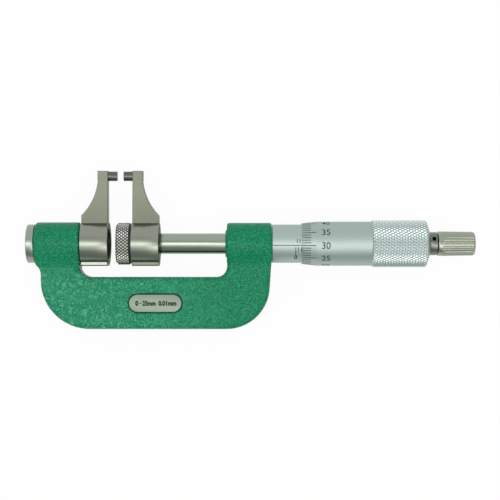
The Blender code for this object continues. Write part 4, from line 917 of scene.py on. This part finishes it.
clamp = {"headRadius": 4.75, "headLength": 3.6, "shankRadius": 3.0, "edge": 0.3, "gap": 0.1,
         "hexagon": 2.887, "depth": 2.2}
clampRear = span("clamp_screw")[1]
clampEnds = (capRight + clamp["gap"], clampRear - clamp["headLength"], clampRear)
clampScrew = steppedPiece("clampScrewSteel", clampEnds,
                          (clamp["shankRadius"], clamp["headRadius"]), clamp["edge"], "darkSteel", 96)
carve(clampScrew, roundTool(clampRear - clamp["depth"], clampRear + past, clamp["hexagon"], steps=6))
dress(clampScrew, "body", "dark_steel", "clamp_screw")

spindle = {"radius": 3.75, "spigotRadius": 2.75, "seat": 3.0, "edge": 0.2, "keyWidth": 2.0,
           "keyDepth": 1.2, "keyBefore": 24.5, "keyAfter": 4.1}
spindleLeft, spindleRight = span("spindle")
shoulder = span("moving_jaw")[1] - spindle["seat"]
rod = steppedPiece("spindleRod", (spindleLeft, shoulder, spindleRight),
                   (spindle["spigotRadius"], spindle["radius"]), spindle["edge"], "spindleSteel")
carve(rod, blockTool(
    (keyX - spindle["keyBefore"], -spindle["keyWidth"] / 2, -spindle["radius"] - past),
    (keyX + spindle["keyAfter"], spindle["keyWidth"] / 2, spindle["keyDepth"] - spindle["radius"])))
dress(rod, "slider", "polished_steel", "spindle")
print("cap, clamp screw and spindle made")


knurl = {"flat": 0.8, "outermost": 0.7, "pointsPerDiamond": 8}
reliefAngle = 40.0    # edges sharper than this stay sharp on a piece with relief


# A turned piece with a diamond knurl from x = low to x = high. Grooves run along p + q = whole and
# p - q = whole, where p counts diamonds round the axis and q along it. The crest is the lower of the
# two ridges between the grooves, cut off flat at the top. The relief fades at both ends, and only
# the outermost part of the profile has it.
def knurledPiece(name, profile, finish, look, low, high):
    def crest(x, angle):
        p = angle / (2 * math.pi) * look["diamonds"]
        q = (x - low) / look["pitch"]
        ridges = [1.0 - np.abs(2.0 * (value - np.floor(value)) - 1.0) for value in (p + q, p - q)]
        return np.minimum(np.minimum(*ridges) / knurl["flat"], 1.0)

    def relief(x, radius, angle):
        depth, fade = look["depth"], look["fade"]
        inside = smoothStep(x, low, low + fade) * smoothStep(-x, -high, fade - high)
        outer = radius > radius.max() - 2.0 * depth - knurl["outermost"]
        return radius - np.where(outer, depth * (1.0 - crest(x, angle)) * inside, 0.0)

    steps = look["diamonds"] * knurl["pointsPerDiamond"]
    piece = turnedPiece(name, profile, finish, steps, relief, reliefAngle)
    x, y, z = localPoints(piece.data.vertices).T
    layer = piece.data.attributes.new("crest", "FLOAT", "POINT")
    layer.data.foreach_set("value", crest(x, np.arctan2(y, z)))
    return piece


nut = {"radius": 7.625, "chamfer": 0.65, "rearEdge": 0.25, "hole": 3.05, "collar": 7.3,
       "collarLength": 0.3, "knurlPast": 0.1, "diamonds": 40, "pitch": 1.45, "depth": 0.36, "fade": 0.3,
       "rowStep": 0.145, "darkLap": 0.01}
nutLeft, nutRight = span("jaw_nut")
discBack = nutRight - nut["collarLength"]
nutProfile = refined([
    (nutLeft, nut["hole"]), (nutLeft, nut["radius"] - nut["chamfer"]),
    (nutLeft + nut["chamfer"], nut["radius"]), (discBack - nut["rearEdge"], nut["radius"]),
    (discBack, nut["radius"] - nut["rearEdge"]), (discBack, nut["collar"]),
    (nutRight, nut["collar"]), (nutRight, nut["hole"])], nutLeft, discBack, nut["rowStep"])
jawNut = knurledPiece("jawNutKnurled", nutProfile, "nutSteel", nut, nutLeft,
                      discBack + nut["knurlPast"])
# the nut's rear edge and collar are dark steel: painted shade where the nut meets the hub
secondMaterial(jawNut, "darkSteel",
               lambda points: points[:, 0] > discBack - nut["rearEdge"] - nut["darkLap"])
dress(jawNut, "nut", "ground_steel", "jaw_nut")

sleeve = {
    "radius": 6.95, "bore": 5.6, "edge": 0.15, "zeroFromBoss": 8.5, "range": 25, "lineWidth": 0.25,
    "lineStart": 0.3, "lineEnd": 26.5, "numberHeight": 1.95, "digitWidth": 1.15, "pairWidth": None,
    "boldness": 0.022,
    # degrees round the axis: the datum line, the numbers, and from where to where the marks run
    "datum": -5.1, "numbers": -44.5, "whole": (-10.6, -25.8), "fifth": (-10.6, -35.5),
    "half": (0.9, 13.6),
}
tubeLeft, tubeRight = span("graduated_sleeve")
tube = turnedPiece("sleeveTube", softened([
    (tubeLeft, sleeve["bore"]), (tubeLeft, sleeve["radius"]), (tubeRight, sleeve["radius"]),
    (tubeRight, sleeve["bore"])], sleeve["edge"], closed=True), "satinChrome")
dress(tube, "body", "satin_chrome", "graduated_sleeve")


# Sleeve scale: the datum line, whole millimetres below it, half millimetres above it and a number
# every five.
def makeSleeveScale():
    def radiusAt(x):
        return np.full(np.shape(x), sleeve["radius"])

    zero = frameHigh[0] + sleeve["zeroFromBoss"]
    datum = sleeve["datum"]
    strips = [(frameHigh[0] + sleeve["lineStart"], datum, zero + sleeve["lineEnd"], datum)]
    for halves in range(2 * sleeve["range"] + 1):
        kind = "half" if halves % 2 else "whole" if halves % 10 else "fifth"
        place = zero + halves / 2
        strips.append((place, sleeve[kind][0], place, sleeve[kind][1]))
    strips = np.array(strips)
    strips[:, 1::2] = np.radians(strips[:, 1::2])
    parts = [inkStrips(strips, sleeve["lineWidth"], radiusAt)]
    for number in range(0, sleeve["range"] + 1, 5):
        parts.append(wrappedNumber(number, sleeve, zero + number, math.radians(sleeve["numbers"]),
                                   radiusAt))
    return inkPiece("sleeveScale", parts)


dress(makeSleeveScale(), "body", "dark_steel")
print("nut and sleeve made")

thimble = {
    "bore": 7.1, "edgeRadius": 7.35, "bevel": 5.4, "radius": 8.0, "gripRadius": 8.625,
    "gripLength": 19.9, "gripChamfer": 0.55, "tail": 1.3, "tailRadius": 4.4, "wall": 6.7,
    "wallHole": 3.6, "edge": 0.14, "diamonds": 49, "pitch": 1.95, "depth": 0.34, "fade": 0.35,
    "rowStep": 0.195, "divisions": 50, "reading": 30, "lineWidth": 0.25, "lineStart": 0.08,
    "shortLine": 3.15, "longLine": 5.0, "numbersFromFront": 8.55, "numberHeight": 2.45,
    "digitWidth": 1.35, "pairWidth": 3.0, "boldness": 0.004,
    # how far inside the grip's two ends the knurl and its lighter chrome with painted highlights start,
    # and the lip
    "knurlIn": (0.25, 0.2), "brightIn": (0.3, 0.25), "brightRadius": 7.9, "lip": 0.02,
    "innerBevel": 0.4, "mouth": 0.1,
}
thimbleFront, thimbleRear = span("thimble")
gripRear = thimbleRear - thimble["tail"]
gripFront = gripRear - thimble["gripLength"]
chamfer = thimble["gripChamfer"]
outside = softened([
    (thimbleFront, thimble["bore"] + thimble["lip"]), (thimbleFront, thimble["edgeRadius"]),
    (thimbleFront + thimble["bevel"], thimble["radius"]), (gripFront, thimble["radius"]),
    (gripFront + chamfer, thimble["gripRadius"]), (gripRear - chamfer, thimble["gripRadius"]),
    (gripRear, thimble["gripRadius"] - chamfer), (thimbleRear, thimble["tailRadius"]),
    (thimbleRear, thimble["wallHole"])], thimble["edge"])
inside = [(thimbleRear - thimble["wall"], thimble["wallHole"] + thimble["innerBevel"]),
          (thimbleRear - thimble["wall"], thimble["bore"]),
          (thimbleFront + thimble["mouth"], thimble["bore"])]
gripRows = refined(outside, gripFront, gripRear, thimble["rowStep"])
thimbleShell = knurledPiece("thimbleShell", np.concatenate([gripRows, inside]), "satinChrome", thimble,
                            gripFront + thimble["knurlIn"][0], gripRear - thimble["knurlIn"][1])


# The knurled band, between the two ends of the grip.
def onGrip(points):
    low, high = gripFront + thimble["brightIn"][0], gripRear - thimble["brightIn"][1]
    outer = np.hypot(points[:, 1], points[:, 2]) > thimble["brightRadius"]
    return (points[:, 0] > low) & (points[:, 0] < high) & outer


# the knurled band is a lighter copy of the chrome: painted highlights on its crests, dirt and painted
# shade in its grooves
secondMaterial(thimbleShell, "litGripChrome", onGrip)
dress(thimbleShell, "rotor", "satin_chrome", "thimble")


# Radius of the thimble's plain front part: a straight bevel, then a cylinder.
def thimbleRadius(x):
    share = np.clip((x - thimbleFront) / thimble["bevel"], 0.0, 1.0)
    return thimble["edgeRadius"] + (thimble["radius"] - thimble["edgeRadius"]) * share


# Thimble scale: fifty marks on the bevel, a longer one every fifth with its number behind it. The
# reading lies at the sleeve's datum line.
def makeThimbleScale():
    strips, numbers = [], []
    for mark in range(thimble["divisions"]):
        turn = (mark - thimble["reading"]) / thimble["divisions"] * 2 * math.pi
        angle = math.radians(sleeve["datum"]) + turn
        length = thimble["shortLine" if mark % 5 else "longLine"]
        strips.append((thimbleFront + thimble["lineStart"], angle, thimbleFront + length, angle))
        if mark % 5 == 0:
            numbers.append(wrappedNumber(mark, thimble, thimbleFront + thimble["numbersFromFront"],
                                         angle, thimbleRadius))
    marks = inkStrips(strips, thimble["lineWidth"], thimbleRadius, 12)
    return inkPiece("thimbleScale", [marks, *numbers])


dress(makeThimbleScale(), "rotor", "dark_steel")
print("thimble made")

ratchet = {
    "gap": 0.3, "neckRadius": 4.2, "neckEdge": 0.15, "shaftRadius": 1.6, "frontShaft": 1.5,
    "spannerRadius": 0.78, "spannerDepth": 2.2, "spannerFromFront": 1.0, "spannerAngle": 25.0,
    "knobRadius": 4.475, "rearRadius": 4.275, "band": 1.2, "bandEdge": 0.2, "endRounding": 0.9,
    "recessRadius": 2.8, "recessDepth": 2.6, "screwHole": 1.9, "innerRadius": 3.2,
    "floorDepth": 4.4, "flutes": 26, "fluteDepth": 0.17, "fluteShare": 0.42,
    "headRadius": 2.5, "headLength": 1.5, "shankRadius": 0.9, "headEdge": 0.25,
    "slotWidth": 0.7, "slotDepth": 0.7, "slotReach": 3.5, "neckLap": 0.28, "holeWall": 1.8,
    # the flutes fade in behind the band over the first length and end between both before the rear
    "fluteFade": 0.5, "fluteEnd": 0.25, "recessMargin": 0.5, "holeMargin": 1.01,
    "pointsPerFlute": 12,
    # the fluted part starts this far behind the band, and tapers in this many rows
    "step": 0.12, "bandTaper": 0.02, "stepDown": 0.03, "rows": 12, "rearFlat": 0.3,
}
stemLeft, stemRight = span("ratchet_stem")
knobFront, knobRear = span("ratchet_knob")
neckFront = thimbleRear + ratchet["gap"]
neck = steppedPiece(
    "ratchetNeck", (stemLeft, neckFront - ratchet["neckLap"], knobFront - ratchet["gap"],
                    stemRight),
    (ratchet["frontShaft"], ratchet["neckRadius"], ratchet["shaftRadius"]), ratchet["neckEdge"],
    "neckSteel")
spannerX = neckFront + ratchet["spannerFromFront"]
carve(neck, roundTool(ratchet["neckRadius"] - ratchet["spannerDepth"], ratchet["neckRadius"] + past,
                      ratchet["spannerRadius"], (spannerX, 0.0, 0.0), ratchet["spannerAngle"]))


# Walls and floor of the spanner hole: no farther from its own axis than its radius and a little.
def inSpannerHole(points):
    angle = math.radians(ratchet["spannerAngle"])
    across = points[:, 1] * math.cos(angle) - points[:, 2] * math.sin(angle)
    outwards = points[:, 1] * math.sin(angle) + points[:, 2] * math.cos(angle)
    near = np.hypot(points[:, 0] - spannerX, across) < ratchet["spannerRadius"] * ratchet["holeMargin"]
    return near & (outwards > ratchet["holeWall"])


# the spanner hole is dark steel: painted shade in the recess
secondMaterial(neck, "darkSteel", inSpannerHole)
dress(neck, "rotor", "ground_steel", "ratchet_stem")

rounding, rearRadius, bandRadius = [ratchet[key] for key in ("endRounding", "rearRadius", "knobRadius")]
bandEnd = knobFront + ratchet["band"]


# Straight flutes: a rounded groove at each whole count round the axis, between flat lands.
def fluteRelief(x, radius, angle):
    phase = angle / (2 * math.pi) * ratchet["flutes"]
    off = np.abs(phase - np.round(phase)) * 2.0
    groove = np.clip(1.0 - (off / ratchet["fluteShare"]) ** 2, 0.0, 1.0)
    fade, end = ratchet["fluteFade"], ratchet["fluteEnd"]
    inside = smoothStep(x, bandEnd, bandEnd + fade) * smoothStep(-x, end - knobRear, fade - knobRear)
    outer = radius > ratchet["recessRadius"] + ratchet["recessMargin"]
    return radius - np.where(outer, ratchet["fluteDepth"] * groove * inside, 0.0)


knobProfile = np.concatenate([
    softened([(knobFront, ratchet["innerRadius"]), (knobFront, bandRadius),
              (bandEnd, bandRadius - ratchet["bandTaper"])], ratchet["bandEdge"]),
    np.linspace((bandEnd + ratchet["step"], bandRadius - ratchet["stepDown"]),
                (knobRear - rounding - ratchet["rearFlat"], rearRadius), ratchet["rows"]),
    arcPoints((knobRear - rounding, rearRadius - rounding), rounding, 90, 0, 8),
    [(knobRear - ratchet["bandTaper"], ratchet["recessRadius"]),
     (knobRear - ratchet["recessDepth"], ratchet["recessRadius"]),
     (knobRear - ratchet["recessDepth"], ratchet["screwHole"]),
     (knobRear - ratchet["floorDepth"], ratchet["screwHole"]),
     (knobRear - ratchet["floorDepth"], ratchet["innerRadius"])]])
knob = turnedPiece("ratchetKnobFluted", knobProfile, "ratchetSteel",
                   ratchet["flutes"] * ratchet["pointsPerFlute"], fluteRelief, reliefAngle)
dress(knob, "ratchet", "ground_steel", "ratchet_knob")

screwFront, screwRear = span("ratchet_screw")
endScrew = steppedPiece(
    "ratchetScrewHead", (screwFront, screwRear - ratchet["headLength"], screwRear),
    (ratchet["shankRadius"], ratchet["headRadius"]), ratchet["headEdge"], "ratchetSteel", 96)
carve(endScrew, blockTool(
    (screwRear - ratchet["slotDepth"], -ratchet["slotReach"], -ratchet["slotWidth"] / 2),
    (screwRear + past, ratchet["slotReach"], ratchet["slotWidth"] / 2)))
dress(endScrew, "rotor", "ground_steel", "ratchet_screw")
print("ratchet made")

# the hidden solids keep their own meshes
hidden = {
    "innerSteel": ("jaw_dowel", "guide_key", "barrel", "adjusting_nut", "retaining_pin_1",
                   "retaining_pin_2", "ratchet_ring"),
    "spindleSteel": ("thrust_ball", "micrometer_screw", "ratchet_spring"),
    "darkSteel": ("key_screw",),
}
for finish, nodes in hidden.items():
    for node in nodes:
        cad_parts[node].data.materials.clear()
        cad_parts[node].data.materials.append(finishes[finish])


# Studio

studio = {
    "strength": 3.5, "side": 0.53, "sideFrom": 0.40, "sideTo": 0.85, "floorSize": 3.0,
    "floorColor": 0.85, "shadowShare": 0.05,
    # angle from straight up in the plane across the spindle, + towards the jaws' tips, and brightness
    "stops": [(-90, 0.84), (-84, 0.66), (-76, 0.33), (-66, 0.35), (-55, 0.38), (-42, 0.42),
              (-34, 0.68), (-27, 1.0), (-19, 1.2), (-13, 1.8), (-8, 3.35), (5, 3.35), (9, 1.9),
              (14, 1.05), (22, 0.74), (31, 0.78), (42, 0.96), (66, 1.0), (90, 0.97)],
    # the bright strip runs slightly slanted: it lies this many degrees lower towards the ratchet
    "slant": 20.0, "slantFrom": -0.005, "slantTo": 0.035,
}
white = (1.0, 1.0, 1.0, 1.0)


# A sky of soft boxes: brightness by angle round the spindle, an even one towards both ends of it,
# and plain white to the eye.
def makeWorld():
    scene.world = bpy.data.worlds.new("studioSky")
    scene.world.use_nodes = True
    tree = scene.world.node_tree
    tree.nodes.clear()
    place = addNode(tree, "TexCoord").outputs["Generated"]
    x, y, z = addNode(tree, "SeparateXYZ", Vector=place).outputs
    lower = mapped(tree, x, studio["slantFrom"], studio["slantTo"], 0.0,
                   math.radians(studio["slant"]), smooth=True)
    angle = combined(tree, "ADD", combined(tree, "ARCTAN2", y, z), lower)
    ramp = addNode(tree, "ValToRGB", Fac=mapped(tree, angle, -math.pi / 2, math.pi / 2))
    elements = ramp.color_ramp.elements
    while len(elements) < len(studio["stops"]):
        elements.new(0.5)
    for element, (degrees, level) in zip(elements, studio["stops"]):
        element.position = (degrees + 90) / 180
        element.color = (*[level / studio["strength"]] * 3, 1.0)
    sideways = mapped(tree, combined(tree, "ABSOLUTE", x), studio["sideFrom"], studio["sideTo"],
                      smooth=True)
    color = blended(tree, sideways, ramp.outputs["Color"], (studio["side"] / studio["strength"],) * 3)
    sky = addNode(tree, "Background", Color=color, Strength=studio["strength"])
    plain = addNode(tree, "Background", Color=white, Strength=1.0)
    rays = addNode(tree, "LightPath")
    shown = addNode(tree, "MixShader", Fac=rays.outputs["Is Camera Ray"], i1=sky.outputs[0],
                    i2=plain.outputs[0])
    addNode(tree, "OutputWorld", Surface=shown.outputs[0])


# The floor is plain white to the eye and in reflections and keeps a faint shadow.
def makeFloor():
    half = studio["floorSize"] / 2
    mesh = bpy.data.meshes.new("floor")
    mesh.from_pydata([(-half, -half, 0), (half, -half, 0), (half, half, 0), (-half, half, 0)], [],
                     [(0, 1, 2, 3)])
    material = bpy.data.materials.new("whiteFloor")
    material.use_nodes = True
    tree = material.node_tree
    tree.nodes.clear()
    matte = addNode(tree, "BsdfDiffuse", Color=(*[studio["floorColor"]] * 3, 1.0))
    glow = addNode(tree, "Emission", Color=white, Strength=1.0)
    paper = addNode(tree, "MixShader", Fac=studio["shadowShare"], i1=glow.outputs[0],
                    i2=matte.outputs[0])
    rays = addNode(tree, "LightPath").outputs
    seen = rays["Is Camera Ray"]
    for kind in ("Is Glossy Ray", "Is Transmission Ray"):
        seen = combined(tree, "MAXIMUM", seen, rays[kind])
    final = addNode(tree, "MixShader", Fac=seen, i1=matte.outputs[0], i2=paper.outputs[0])
    addNode(tree, "OutputMaterial", Surface=final.outputs[0])
    mesh.materials.append(material)
    newObject("floor", mesh)


# The camera looks straight down from where the photograph's own perspective puts it.
view = {"angle": 22.0, "place": (-0.41, -0.04, 475.6)}


def makeCamera():
    data = bpy.data.cameras.new("overhead")
    data.sensor_fit = "HORIZONTAL"
    data.angle = math.radians(view["angle"])
    data.clip_start = 0.01
    scene.camera = newObject("overhead", data)
    scene.camera.location = [value * mm for value in view["place"]]


makeWorld()
makeFloor()
makeCamera()
scene.view_settings.view_transform = "Standard"
print("studio made")
